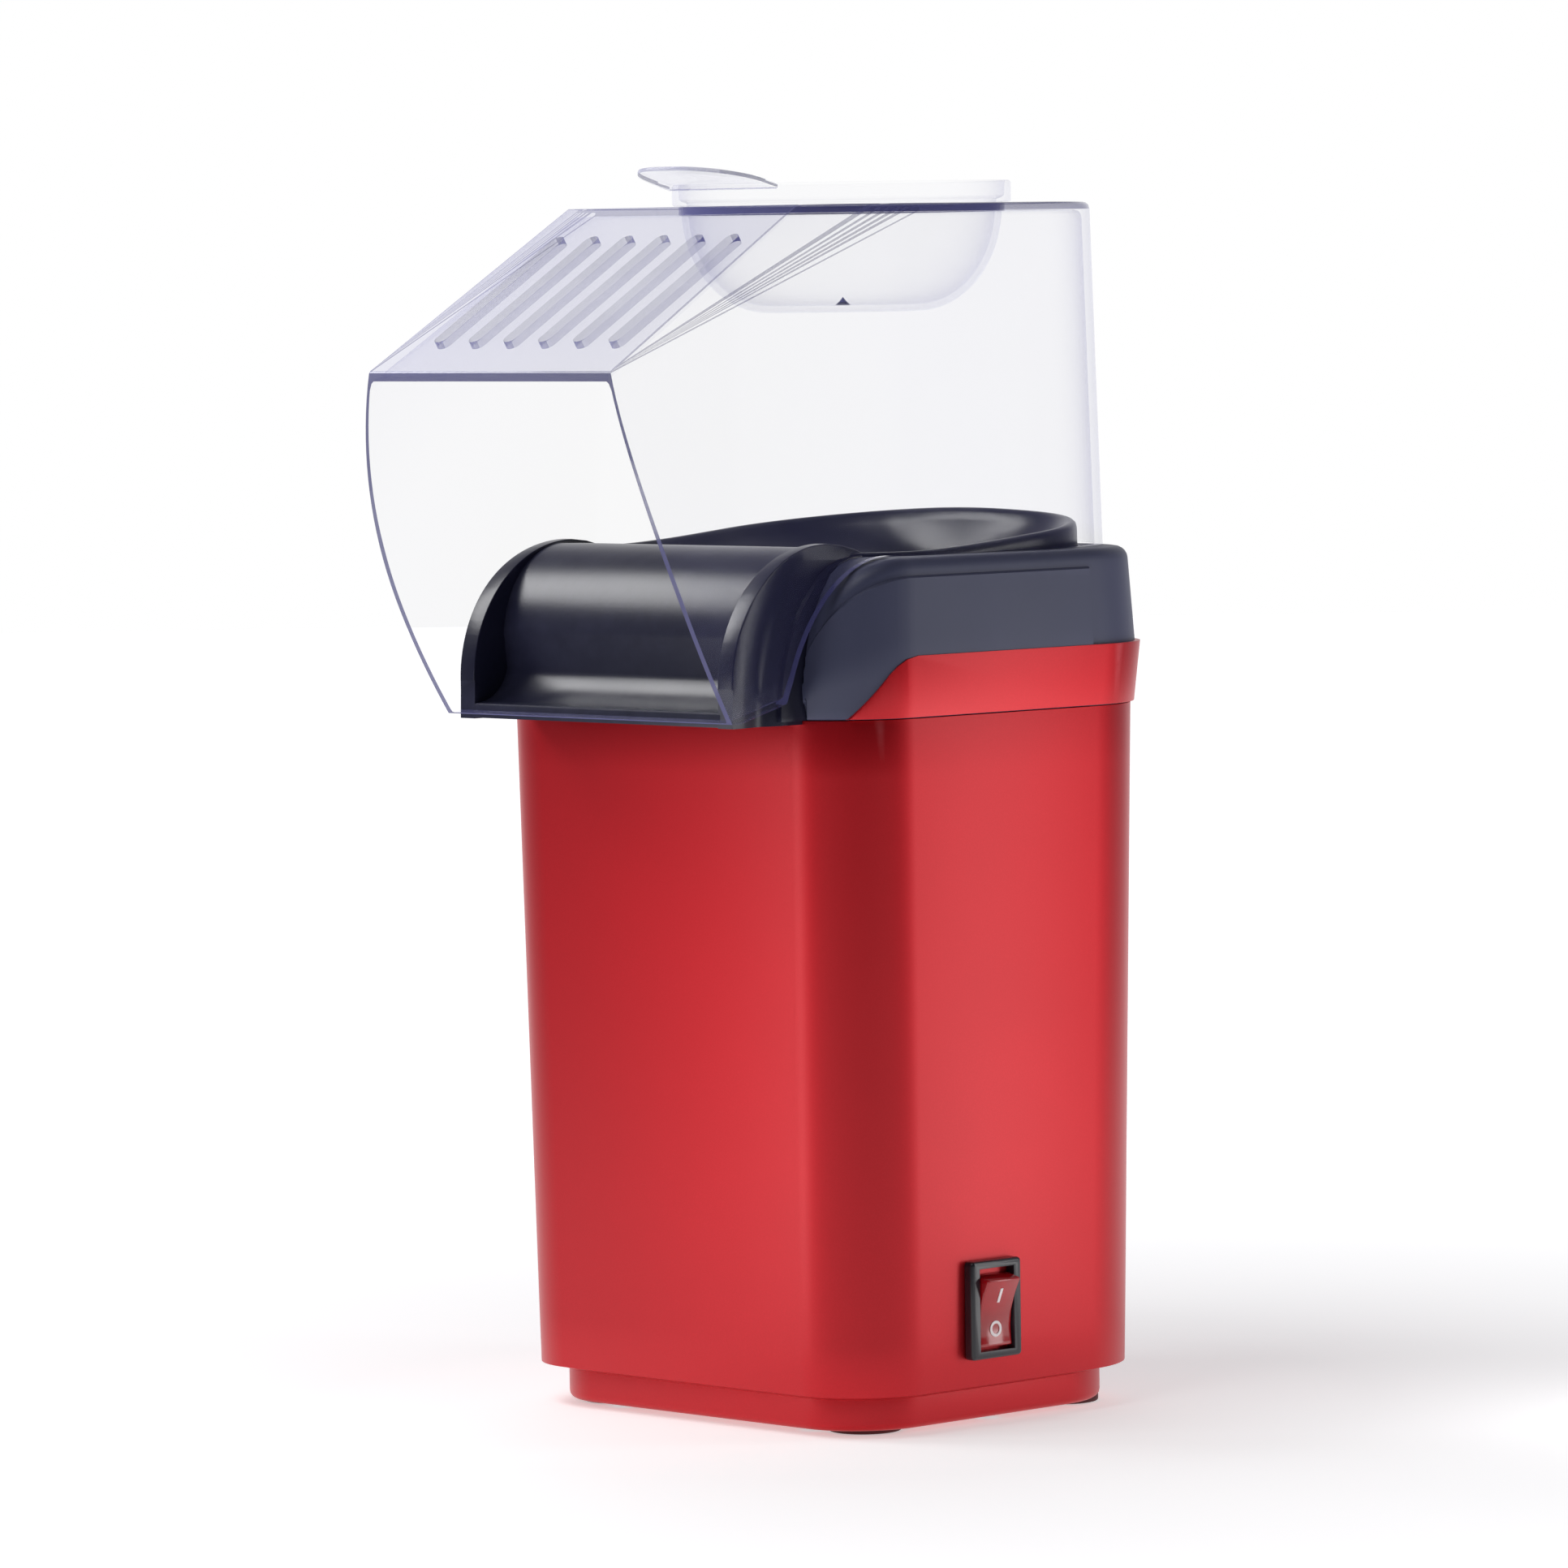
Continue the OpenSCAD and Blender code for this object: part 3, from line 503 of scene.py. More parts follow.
shoulder_steps = make_steps()

# %% [markdown]
# ## Upper housing: chute
# The chute is a steep slide between two curved cheeks. Popped corn comes over the top, slides down and
# leaves over a lip. The cheeks are one side view carried across a few millimetres, with a full round on
# their edges; the slide is one smooth curve with thickness, held between them.

# %% Chute
LIP_Z = BODY_Z1 + 2.6
RIM_CENTER = (NOSE_Y + RIM_R, DECK_Z + 3.1 - RIM_R)
VALLEY, VALLEY_REACH = 1.4, 14.0
ROLL_SIZE = 28  # about the middle radius of the shoulder's roll


def cheek_outline():
    rim = arc(RIM_CENTER, RIM_R, 180, 90, 28)
    back = [(-37.0, DECK_Z + 2.6), (-33.5, DECK_Z + 1.7), (-30.0, DECK_Z + 0.3)]
    return [(-30.0, BODY_Z1 - 0.8), (NOSE_Y, BODY_Z1 - 0.8)] + rim + back


def valley_depth(y, z):
    """The cheek's outside sinks in a shallow valley in front of the shoulder's ledge."""
    ahead = math.hypot((y - ROLL_START) / ROLL_DEPTH, (z - DECK_Z + ROLL_RISE) / ROLL_RISE) - 1
    ahead *= ROLL_SIZE
    if not -1 < ahead < VALLEY_REACH:
        return 0.0
    t = max(0, ahead) / VALLEY_REACH
    return VALLEY * math.sin(math.pi * t ** 0.55) ** 2


def make_cheek(side):
    bm = extrude_profile(cheek_outline(), SLIDE_HW + 0.4, NOSE_HW)
    rim = [e for e in bm.edges if all(v.co.y < -29 and v.co.z > BODY_Z1 for v in e.verts)
           and abs(e.verts[0].co.x - e.verts[1].co.x) < 1e-4]
    round_edges(bm, rim, 1.6, 5)
    cross_cut(bm, 1, [NOSE_Y + 3 + 1.6 * i for i in range(14)])
    cross_cut(bm, 2, [BODY_Z1 + 3 + 2.4 * i for i in range(14)])
    for v in bm.verts:
        if v.co.x > NOSE_HW - 1.7:
            v.co.x -= valley_depth(v.co.y, v.co.z)
    if side < 0:
        bmesh.ops.scale(bm, vec=(-1, 1, 1), verts=bm.verts)
    bmesh.ops.recalc_face_normals(bm, faces=bm.faces)
    return bm


def slide_line():
    foot = arc((NOSE_Y + 0.6, LIP_Z + 9.6), (9.6, 9.6), -92, -14, 9)
    brow = arc((-44.0, 171.6), (18.6, 20.9), 176, 96, 18)
    return foot + brow + [(-40.0, 192.2), (-36.0, 191.0)]


def make_slide():
    line = slide_line()
    under = [(y + 2.0, z - 2.0) for y, z in reversed(line)]
    lip = [(NOSE_Y + 0.2, LIP_Z - 0.2), (NOSE_Y, LIP_Z - 0.6), (NOSE_Y, BODY_Z1 - 0.6)]
    heel, foot = [(-35.0, 187.6), (-36.0, 184.8)], [(NOSE_Y + 3, BODY_Z1 - 0.6)]
    return extrude_profile(line + heel + under[1:-1] + foot + lip[::-1], -SLIDE_HW - 1, SLIDE_HW + 1)


def make_chute():
    bm = make_cheek(1)
    join(bm, make_cheek(-1))
    join(bm, make_slide())
    chute = finish(bm, "chute", "base_unit", smooth=38)
    return chute


chute = make_chute()

# %% [markdown]
# ## Upper housing: collar and dish
# Inside the cover a raised collar runs round the deck, highest at the back, and falls as a shallow dish
# to the popping chamber. It is one ring of edges, extruded again and again: up the outside, over the
# crest and down to the chamber, while the outline changes from a rounded square to a circle.

# %% Collar and dish
RING_STEPS = 144


def square_reach(angle, hw, hd, radius):
    """Distance from the middle to a rounded square's outline in one direction."""
    c, s = abs(math.cos(angle)), abs(math.sin(angle))
    straight = min(hw / max(c, 1e-6), hd / max(s, 1e-6))
    x, y = straight * c, straight * s
    cx, cy = hw - radius, hd - radius
    if x > cx and y > cy:
        along = cx * c + cy * s
        return along + math.sqrt(max(0, radius ** 2 - (cx ** 2 + cy ** 2 - along ** 2)))
    return straight


def crest_height(angle):
    """Height of the collar: full at the back, low at the sides, sunk at the chute."""
    lean = math.sin(angle)
    high = 190.9 + 6.9 * max(0, (lean + 0.45) / 1.45) ** 1.5
    sink = max(0, (-lean - 0.74) / 0.26)
    return high - 2.6 * min(1, sink) ** 0.6


def collar_rows():
    """Rows of the ring: inset from the outline, height, and how far it is blended into a circle."""
    steps = 8
    rows = [
        (0.0, lambda a: DECK_Z - 1.0, 0.0),
        (0.1, lambda a: crest_height(a) - 1.6, 0.0),
        (0.35, lambda a: crest_height(a) - 0.6, 0.0),
        (1.0, lambda a: crest_height(a) - 0.05, 0.0),
        (1.7, crest_height, 0.0),
        (2.4, lambda a: crest_height(a) - 0.2, 0.0),
        (3.2, lambda a: crest_height(a) - 1.0, 0.02),
    ]
    for i in range(1, steps + 1):
        t = i / steps
        rows.append((3.2 + t, lambda a, t=t: (crest_height(a) - 1.0) * (1 - t) ** 1.6
                     + 186.9 * (1 - (1 - t) ** 1.6), 0.02 + 0.98 * t ** 1.15))
    return rows + [(0, lambda a: 185.6, 1.0), (0, lambda a: 184.9, 1.0), (-3.0, lambda a: 184.9, 1.0),
                   (2.0, lambda a: DECK_Z - 3.0, 0.0)]


def place_ring(verts, mid, inset, height, roundness):
    """Moves a ring to its row; each vertex keeps its direction as seen from the ring's old middle."""
    for v in verts:
        angle = math.atan2(v.co.y - mid, v.co.x)
        reach = square_reach(angle, COLLAR_HW, COLLAR_HD, COLLAR_R) - inset
        r = reach * (1 - roundness) + (CHAMBER_R + 1.4 - min(0, inset)) * roundness
        v.co = (r * math.cos(angle), AXIS_Y * roundness + r * math.sin(angle), height(angle))
    return AXIS_Y * roundness


def make_collar():
    bm = bmesh.new()
    bmesh.ops.create_circle(bm, cap_ends=False, segments=RING_STEPS, radius=40)
    first = edges = list(bm.edges)
    rows = collar_rows()
    mid = place_ring(list(bm.verts), 0.0, *rows[0])
    for row in rows[1:]:
        made = bmesh.ops.extrude_edge_only(bm, edges=edges)["geom"]
        edges = [g for g in made if isinstance(g, bmesh.types.BMEdge)]
        mid = place_ring([g for g in made if isinstance(g, bmesh.types.BMVert)], mid, *row)
    bmesh.ops.bridge_loops(bm, edges=first + edges)
    bmesh.ops.recalc_face_normals(bm, faces=bm.faces)
    dish = finish(bm, "collar_dish", "base_unit", smooth=50)
    return dish


collar_dish = make_collar()

# %% [markdown]
# ## Trim band
# A red band wraps the housing's foot on three sides and stands a little proud of it. Its front ends are
# slanted. The band is a hollow block, its upper edge slightly wider than its lower one, and the front is
# taken off along the slanted line.

# %% Trim band
def band_form(grow, z0, z1):
    bm = rounded_block(BODY_HW + FLARE + grow, BODY_HD + FLARE + grow, z0, z1, segments=20)
    for v in bm.verts:
        draw_in([v], (BAND_Z1 - v.co.z) / (BAND_Z1 - BODY_Z1) * LEAN)
    return bm


def make_band():
    band = finish(band_form(0.15, BODY_Z1 + 0.3, BAND_Z1), "trim_ring", "base_unit")
    cut(band, band_form(-1.4, BODY_Z1 - 2, BAND_Z1 + 2))
    front = [(-80, 150), (-47.4, 150), (-46.9, BODY_Z1), (-39.7, 165.3), (-38.0, 167.0), (-35.8, 168.4),
             (-32.0, BAND_Z1 + 0.1), (-32.0, 175), (-80, 175)]
    cut(band, extrude_profile(front, -80, 80))
    soften(band, 0.3, 3, 35)
    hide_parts("trim_band")
    return band


trim_ring = make_band()

# %% [markdown]
# ## Clear cover
# The cover is one thin clear moulding: a round-cornered tower over the collar, a sloping brow with vent
# slots, and two skirts that run down beside the chute. Its walls are ruled from a few outlines, so the
# convex_hull operator gives the whole form from those outlines. The same form, a wall smaller, is then
# taken out of it, which opens the mouth, and the foot is cut along the deck and the shoulders.

# %% Cover outlines
HOOD_WALL = 1.8
HOOD_HW, HOOD_HD, HOOD_R = 54.0, 50.0, 30.0
BROW_HW, CROWN_Y, CROWN_HW = 38.1, -43.3, 36.0
CROWN_REAR, CROWN_R = HOOD_HD - 1.5, 29.0
BROW_SLOPE = math.atan2(HOOD_Z - MOUTH_Z, CROWN_Y - MOUTH_Y)
MOUTH_STEPS = 26


def mouth_point(t):
    """Half width, Y and height of the mouth's side edge, from the brow (0) to its foot (1)."""
    widest, wider, narrower, setback = 0.68, 7.6, 0.9, 27.9
    out = math.sin(min(t / widest, 1) * math.pi / 2)
    back_in = (max(t - widest, 0) / (1 - widest)) ** 2
    z = MOUTH_Z - t * (MOUTH_Z - BODY_Z1 + 0.3)
    return BROW_HW + wider * out - narrower * back_in, MOUTH_Y + setback * t ** 1.75, z


def plan_ring(bm, hw, hd, radius, z, mid=0.0, steps=20):
    """Vertices of a rounded rectangle at one height."""
    for sx in (-1, 1):
        for sy in (-1, 1):
            for i in range(steps + 1):
                a = math.pi / 2 * i / steps
                x = sx * (hw - radius + radius * math.cos(a))
                y = mid + sy * (hd - radius + radius * math.sin(a))
                bm.verts.new((x, y, z))


def hood_form(inset=0.0):
    """The cover's closed form. With an inset it is the room inside, which reaches out of the mouth."""
    bm = bmesh.new()
    crown_hd = (CROWN_REAR - CROWN_Y) / 2
    crown_mid = (CROWN_REAR + CROWN_Y) / 2
    for drop, draw in ((1.6, 0.0), (0.75, 0.25), (0.22, 0.8), (0.0, 1.7)):
        less = draw + inset
        plan_ring(bm, HOOD_HW - 2 - less, crown_hd - less, CROWN_R - less, HOOD_Z - drop - inset, crown_mid)
    plan_ring(bm, HOOD_HW - inset, HOOD_HD - inset, HOOD_R - inset, DECK_Z - 4, 0.0)
    reach = 4.0 if inset else 0.0
    for k in range(MOUTH_STEPS + 1):
        x, y, z = mouth_point(k / MOUTH_STEPS)
        y -= reach
        under_brow = MOUTH_Z + (y - MOUTH_Y) * math.tan(BROW_SLOPE) - inset / math.cos(BROW_SLOPE)
        for side in (-1, 1):
            bm.verts.new((side * (x - inset), y, min(z, under_brow)))
    fold_y = CROWN_Y + inset * math.tan(BROW_SLOPE / 2)
    for side in (-1, 1):
        bm.verts.new((side * (CROWN_HW - inset), fold_y, HOOD_Z - inset))
    bmesh.ops.convex_hull(bm, input=bm.verts)
    bmesh.ops.delete(bm, geom=[v for v in bm.verts if not v.link_faces], context="VERTS")
    bmesh.ops.dissolve_limit(bm, angle_limit=math.radians(0.6), verts=bm.verts, edges=bm.edges)
    return bm


# %% Cover
COVER_GAP = 0.4
VENT_COUNT, VENT_PITCH, VENT_W, VENT_LONG, VENT_START = 6, 11.0, 3.6, 43.5, 12.0
CUP_Y, CUP_R = 6.0, 37.6


def foot_outline():
    """Side view of everything that the cover leaves free: deck, shoulders and below the skirts."""
    roll = arc(ROLL_CENTER, (ROLL_DEPTH, ROLL_RISE), 90, 175, 20)
    points = [(-150, 100), (70, 100), (70, DECK_Z)] + roll + [(-59, BODY_Z1), (-150, BODY_Z1 - 0.6)]
    return [(y, z + COVER_GAP) for y, z in points]


def vent_cutter(index):
    x = (index - (VENT_COUNT - 1) / 2) * VENT_PITCH
    bm = block((x - VENT_W / 2, VENT_START, -6), (x + VENT_W / 2, VENT_START + VENT_LONG, 6))
    round_edges(bm, [e for e in bm.edges if is_upright(e)], VENT_W / 2 - 0.02, 8)
    bmesh.ops.rotate(bm, cent=(0, 0, 0), matrix=Matrix.Rotation(BROW_SLOPE, 3, "X"), verts=bm.verts)
    bmesh.ops.translate(bm, vec=(0, MOUTH_Y, MOUTH_Z), verts=bm.verts)
    return bm


def crease_edges(bm):
    """The folds between the vent panel and its neighbours: the brow's sides and the crown."""
    folds, near, shortest = [], 0.5, 20
    for e in bm.edges:
        low, high = sorted((v.co for v in e.verts), key=lambda c: c.z)
        above_mouth = low.z > MOUTH_Z - near
        meets_crown = abs(high.y - CROWN_Y) < near
        along_brow = above_mouth and low.y < MOUTH_Y + near
        slanted = above_mouth and meets_crown and low.z < HOOD_Z - 5
        across = meets_crown and abs(low.y - CROWN_Y) < near and low.z > HOOD_Z - near
        if (along_brow or slanted or across) and e.calc_length() > shortest:
            folds.append(e)
    return folds


# How strongly a face shows as an edge: mouth rim, folds, the crown's round, the vent panel
RIM_LINE, FOLD_LINE, CROWN_LINE, BROW_TINT = 1.0, 0.55, 0.5, 0.13


def line_strength(face):
    """How strongly a face of the cover's outer form shows as an edge."""
    if face.normal.y < -0.7 and face.normal.z < 0.5:
        return RIM_LINE
    if face.normal.y < -0.5 and face.normal.z > 0.7 and abs(face.normal.x) < 0.02:
        return BROW_TINT
    if face.calc_center_median().z > HOOD_Z - 1.3 and face.normal.z < 0.95:
        return CROWN_LINE
    return 0.0


def make_hood():
    form = hood_form()
    lines = form.faces.layers.float.new("cut_edge")
    made = round_edges(form, crease_edges(form), 0.7, 2)
    form.normal_update()
    for face in form.faces:
        face[lines] = line_strength(face)
    for face in made["faces"]:
        face[lines] = FOLD_LINE
    hood = finish(form, "clear_cover", "cover")
    cut(hood, hood_form(HOOD_WALL))
    cut(hood, extrude_profile(foot_outline(), -90, 90))
    for index in range(VENT_COUNT):
        cut(hood, vent_cutter(index))
    cut(hood, disc((0, CUP_Y), CUP_R - 1.4, HOOD_Z - 20, HOOD_Z + 20, 96))
    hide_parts("hood")
    return hood


clear_cover = make_hood()

# %% [markdown]
# ## Measuring cup
# The cup hangs in the cover's crown: a bowl with a flat bottom and a small cone in its middle, an
# upright rim, and a tongue to lift it by. A bowl is a turned shape, so its section is drawn once and
# spun a full turn; the tongue is a flat plate with a rounded end, bent upwards.

# %% Measuring cup
CUP_BOTTOM_R, CUP_DEPTH, CUP_WALL = 17.8, 23.6, 1.5
RIM_TOP = 5.0


def spin_section(points, steps=96):
    """Spins a section of (radius, height) points a full turn about the upright axis."""
    bm = bmesh.new()
    verts = [bm.verts.new((r, 0, z)) for r, z in points]
    edges = [bm.edges.new(pair) for pair in zip(verts, verts[1:])]
    bmesh.ops.spin(bm, geom=verts + edges, cent=(0, 0, 0), axis=(0, 0, 1), angle=2 * math.pi,
                   steps=steps, use_merge=True)
    bmesh.ops.remove_doubles(bm, verts=bm.verts, dist=1e-4)
    bmesh.ops.recalc_face_normals(bm, faces=bm.faces)
    return bm


def cup_section():
    bowl = CUP_R - 2
    span = (bowl - CUP_BOTTOM_R + 1, CUP_DEPTH)
    outer = arc((CUP_BOTTOM_R - 1, 0), span, -90, -3, 22)
    inner = arc((CUP_BOTTOM_R - 1, 0), (span[0] - CUP_WALL, span[1] - CUP_WALL), -6, -90, 22)
    rim = [(bowl + 0.1, 0.3), (CUP_R - 0.3, 0.3), (CUP_R, 0.6), (CUP_R, RIM_TOP - 0.4),
           (CUP_R - 0.3, RIM_TOP), (CUP_R - 1.1, RIM_TOP), (CUP_R - 1.4, RIM_TOP - 0.4),
           (CUP_R - 1.5, 1.7), (CUP_R - 2.2, 1.2), (CUP_R - 3.2, 0.9)]
    cone = [(r, CUP_WALL + high - CUP_DEPTH) for r, high in ((1.7, 0), (0.9, 0.7), (0, 1.8))]
    return [(0, -CUP_DEPTH)] + outer + rim + inner + cone


def tongue():
    bm = block((-17, -54, 0), (17, -CUP_R + 1.2, 1.3))
    tip = [e for e in bm.edges if is_upright(e) and e.verts[0].co.y < -50]
    round_edges(bm, tip, 14, 12)
    cross_cut(bm, 1, (-50, -47, -44, -41.5, -39))
    rims = [e for e in bm.edges if len(e.link_faces) == 2 and not is_upright(e)]
    round_edges(bm, [e for e in rims if e.calc_face_angle(0) > 0.6], 0.35, 2)
    long, rise = 16.4, 3.9
    for v in bm.verts:
        out = (-v.co.y - CUP_R) / long
        v.co.z += RIM_TOP - 1.4 + rise * max(0, min(1, out)) ** 0.75
    return bm


def make_cup():
    bm = spin_section(cup_section())
    bmesh.ops.translate(bm, vec=(0, CUP_Y, HOOD_Z), verts=bm.verts)
    cup = finish(bm, "measure_cup", "cup", smooth=35)
    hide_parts("measuring_cup")
    handle = tongue()
    bmesh.ops.translate(handle, vec=(0, CUP_Y, HOOD_Z), verts=handle.verts)
    grip = finish(handle, "cup_tongue", "cup", smooth=40)
    return cup, grip


measure_cup, cup_tongue = make_cup()

# %% [markdown]
# ## Switch
# A standard rocker switch sits low on the right side: a black frame with a window, and a translucent
# red rocker with a shallow V face. It is off, so the lower half is in and the upper half stands out.
# The usual stroke and ring marks are thin white inlays that tilt with the rocker.

# %% Switch frame
SWITCH_Y, SWITCH_Z, SWITCH_W, SWITCH_H = -9.9, 26.0, 15.4, 21.5
SWITCH_FACE = node_box("switch_body")[1].x
PIVOT_X = 55.6
THROW = math.radians(22)


def switch_block(x0, x1, hw, hh):
    """A block round the switch's own axis, from x0 to x1."""
    return block((x0, SWITCH_Y - hw, SWITCH_Z - hh), (x1, SWITCH_Y + hw, SWITCH_Z + hh))


def make_switch_frame():
    bm = switch_block(SWITCH_FACE - 2.35, SWITCH_FACE, SWITCH_W / 2, SWITCH_H / 2)
    corners = [e for e in bm.edges if abs(e.verts[0].co.x - e.verts[1].co.x) > 1]
    round_edges(bm, corners, 1.0, 4)
    rim = [e for e in bm.edges if all(v.co.x > SWITCH_FACE - 1e-3 for v in e.verts)]
    round_edges(bm, rim, 0.7, 3)
    join(bm, switch_block(41.5, SWITCH_FACE - 2.3, 6.4, 9.6))
    holder = finish(bm, "switch_frame", "base_unit")
    cut(holder, switch_block(47, 70, 5.3, 9.05))
    soften(holder, 0.18, 2, 40)
    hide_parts("switch_body")
    return holder


switch_frame = make_switch_frame()

# %% Rocker and its marks
TIP, ROCKER_W = 7.6, 10.0
FACE_X = 4.6  # the rocker's face over its pins, at the two ends
FACE_IN = TIP * math.tan(THROW / 2)


def to_rocker_place(bm):
    """From the rocker's own middle place to where it rests, tilted with its upper half out."""
    bmesh.ops.rotate(bm, cent=(0, 0, 0), matrix=Matrix.Rotation(THROW / 2, 3, "Y"), verts=bm.verts)
    bmesh.ops.translate(bm, vec=(PIVOT_X, SWITCH_Y, SWITCH_Z), verts=bm.verts)
    return bm


def rocker_section():
    """Side view of the rocker as (X, Z): a shallow V face, with each half slightly dished."""
    steps = 8
    face = []
    for side in (-1, 1):
        half = [i / steps for i in range(steps + 1)]
        pts = [(FACE_X - FACE_IN * (1 - t) - 0.28 * math.sin(math.pi * t), side * TIP * t) for t in half]
        face += pts[::-1][:-1] if side < 0 else pts
    return face + [(0.5, 7.9), (-4, 5), (-4, -5), (0.5, -7.9)]


def make_rocker():
    bm = bmesh.new()
    face = bm.faces.new([bm.verts.new((x, -ROCKER_W / 2, z)) for x, z in rocker_section()])
    made = bmesh.ops.extrude_face_region(bm, geom=[face])
    bmesh.ops.translate(bm, vec=(0, ROCKER_W, 0), verts=verts_of(made))
    bmesh.ops.recalc_face_normals(bm, faces=bm.faces)
    rocker = finish(to_rocker_place(bm), "rocker_key", "rocker")
    soften(rocker, 0.45, 3, 35)
    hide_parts("switch_rocker")
    return rocker


def place_mark(bm, side):
    """Lays a flat mark, made in the Y-Z plane with its face to +X, on one half of the V face."""
    lean, sunk = THROW / 2 * side, 0.32
    bmesh.ops.rotate(bm, cent=(0, 0, 0), matrix=Matrix.Rotation(lean, 3, "Y"), verts=bm.verts)
    bmesh.ops.translate(bm, vec=(FACE_X - FACE_IN / 2 - sunk, 0, side * TIP / 2), verts=bm.verts)
    return bm


def make_marks():
    thick, inner, outer = 0.22, 1.15, 1.75
    stroke = block((0, -0.35, -1.7), (thick, 0.35, 1.7))
    ring = bmesh.new()
    verts = [ring.verts.new((r, 0, h)) for r, h in ((inner, 0), (outer, 0), (outer, thick), (inner, thick))]
    edges = [ring.edges.new((verts[i], verts[(i + 1) % 4])) for i in range(4)]
    bmesh.ops.spin(ring, geom=verts + edges, cent=(0, 0, 0), axis=(0, 0, 1), angle=2 * math.pi, steps=40,
                   use_merge=True)
    bmesh.ops.rotate(ring, cent=(0, 0, 0), matrix=Matrix.Rotation(math.pi / 2, 3, "Y"), verts=ring.verts)
    marks = place_mark(stroke, 1)
    join(marks, place_mark(ring, -1))
    tidy_normals(marks)
    piece = finish(to_rocker_place(marks), "rocker_marks", "rocker")
    return piece


rocker_key = make_rocker()
rocker_marks = make_marks()

# %% [markdown]
# ## Effects that several finishes share
# Edge wear, fine moulding grain, dust and smudges appear on most of the parts, so each is a node group
# with named inputs and outputs, built once. They put out masks, values and normals only; colours that
# are the same all over stay on the shader itself.

# %% Shader groups
def new_group(name, inputs, outputs):
    """An empty shader group: inputs and outputs are (name, kind, default) rows."""
    group = bpy.data.node_groups.new(name, "ShaderNodeTree")
    for label, kind, default in inputs:
        socket = group.interface.new_socket(label, in_out="INPUT", socket_type="NodeSocket" + kind)
        socket.default_value = default
    for label, kind in outputs:
        group.interface.new_socket(label, in_out="OUTPUT", socket_type="NodeSocket" + kind)
    return group, group.nodes.new("NodeGroupInput"), group.nodes.new("NodeGroupOutput")


def add(tree, kind, **values):
    """Adds a node; a value named after an input fills it, and other values are its settings."""
    node = tree.nodes.new("ShaderNode" + kind)
    for key, value in values.items():
        label = key.replace("_", " ").title() if key not in node.bl_rna.properties else None
        if label and label in node.inputs:
            node.inputs[label].default_value = value
        else:
            setattr(node, key, value)
    return node


def ranged(tree, value, **limits):
    """Maps a value's range: from_min, from_max, to_min and to_max are 0 or 1 unless given."""
    node = add(tree, "MapRange", **limits)
    tree.links.new(value, node.inputs["Value"])
    return node.outputs["Result"]


def combined(tree, operation, first, second, clamp=False):
    """A sum, difference, product or power of a socket and another socket or a number."""
    node = add(tree, "Math", operation=operation, use_clamp=clamp)
    tree.links.new(first, node.inputs[0])
    if isinstance(second, bpy.types.NodeSocket):
        tree.links.new(second, node.inputs[1])
    else:
        node.inputs[1].default_value = second
    return node.outputs[0]


def object_noise(tree, **settings):
    """A noise on the piece's own coordinates."""
    place = add(tree, "TexCoord")
    noise = add(tree, "TexNoise", **settings)
    tree.links.new(place.outputs["Object"], noise.inputs["Vector"])
    return noise


def grain_group():
    """Fine moulding texture: a height for Bump and a roughness value."""
    inputs = [("Scale", "Float", 900.0), ("Depth", "Float", 0.1), ("Roughness", "Float", 0.35),
              ("Spread", "Float", 0.06)]
    group, given, out = new_group("moulding_grain", inputs, [("Normal", "Vector"), ("Roughness", "Float")])
    link = group.links.new
    fine = object_noise(group, detail=3.0)
    link(given.outputs["Scale"], fine.inputs["Scale"])
    bump = add(group, "Bump", distance=0.0002)
    link(fine.outputs["Fac"], bump.inputs["Height"])
    link(given.outputs["Depth"], bump.inputs["Strength"])
    link(bump.outputs["Normal"], out.inputs["Normal"])
    broad = object_noise(group, scale=28.0, detail=2.0)
    shift = combined(group, "SUBTRACT", broad.outputs["Fac"], 0.5)
    spread = combined(group, "MULTIPLY", shift, given.outputs["Spread"])
    total = combined(group, "ADD", given.outputs["Roughness"], spread, clamp=True)
    link(total, out.inputs["Roughness"])
    return group


def wear_group():
    """A mask that is bright on worn convex edges, broken up by noise."""
    group, given, out = new_group("edge_wear", [("Reach", "Float", 0.52), ("Scale", "Float", 220.0)],
                                  [("Mask", "Float")])
    link = group.links.new
    geometry = add(group, "NewGeometry")
    noise = object_noise(group, detail=4.0)
    link(given.outputs["Scale"], noise.inputs["Scale"])
    edge = add(group, "MapRange", from_max=0.60)
    link(geometry.outputs["Pointiness"], edge.inputs["Value"])
    link(given.outputs["Reach"], edge.inputs["From Min"])
    product = combined(group, "MULTIPLY", edge.outputs["Result"], noise.outputs["Fac"], clamp=True)
    link(product, out.inputs["Mask"])
    return group


def dust_group():
    """A mask of light dust, more on faces that look up."""
    group, given, out = new_group("light_dust", [("Amount", "Float", 0.2), ("Scale", "Float", 60.0)],
                                  [("Mask", "Float")])
    link = group.links.new
    geometry = add(group, "NewGeometry")
    split = add(group, "SeparateXYZ")
    link(geometry.outputs["Normal"], split.inputs[0])
    upward = ranged(group, split.outputs["Z"], from_min=0.3)
    noise = object_noise(group, detail=6.0)
    link(given.outputs["Scale"], noise.inputs["Scale"])
    speck = ranged(group, noise.outputs["Fac"], from_min=0.45, from_max=0.8)
    both = combined(group, "MULTIPLY", upward, speck)
    link(combined(group, "MULTIPLY", both, given.outputs["Amount"], clamp=True), out.inputs["Mask"])
    return group


GRAIN, WEAR, DUST = grain_group(), wear_group(), dust_group()


def use_group(tree, group, **values):
    node = tree.nodes.new("ShaderNodeGroup")
    node.node_tree = group
    for label, value in values.items():
        node.inputs[label].default_value = value
    return node


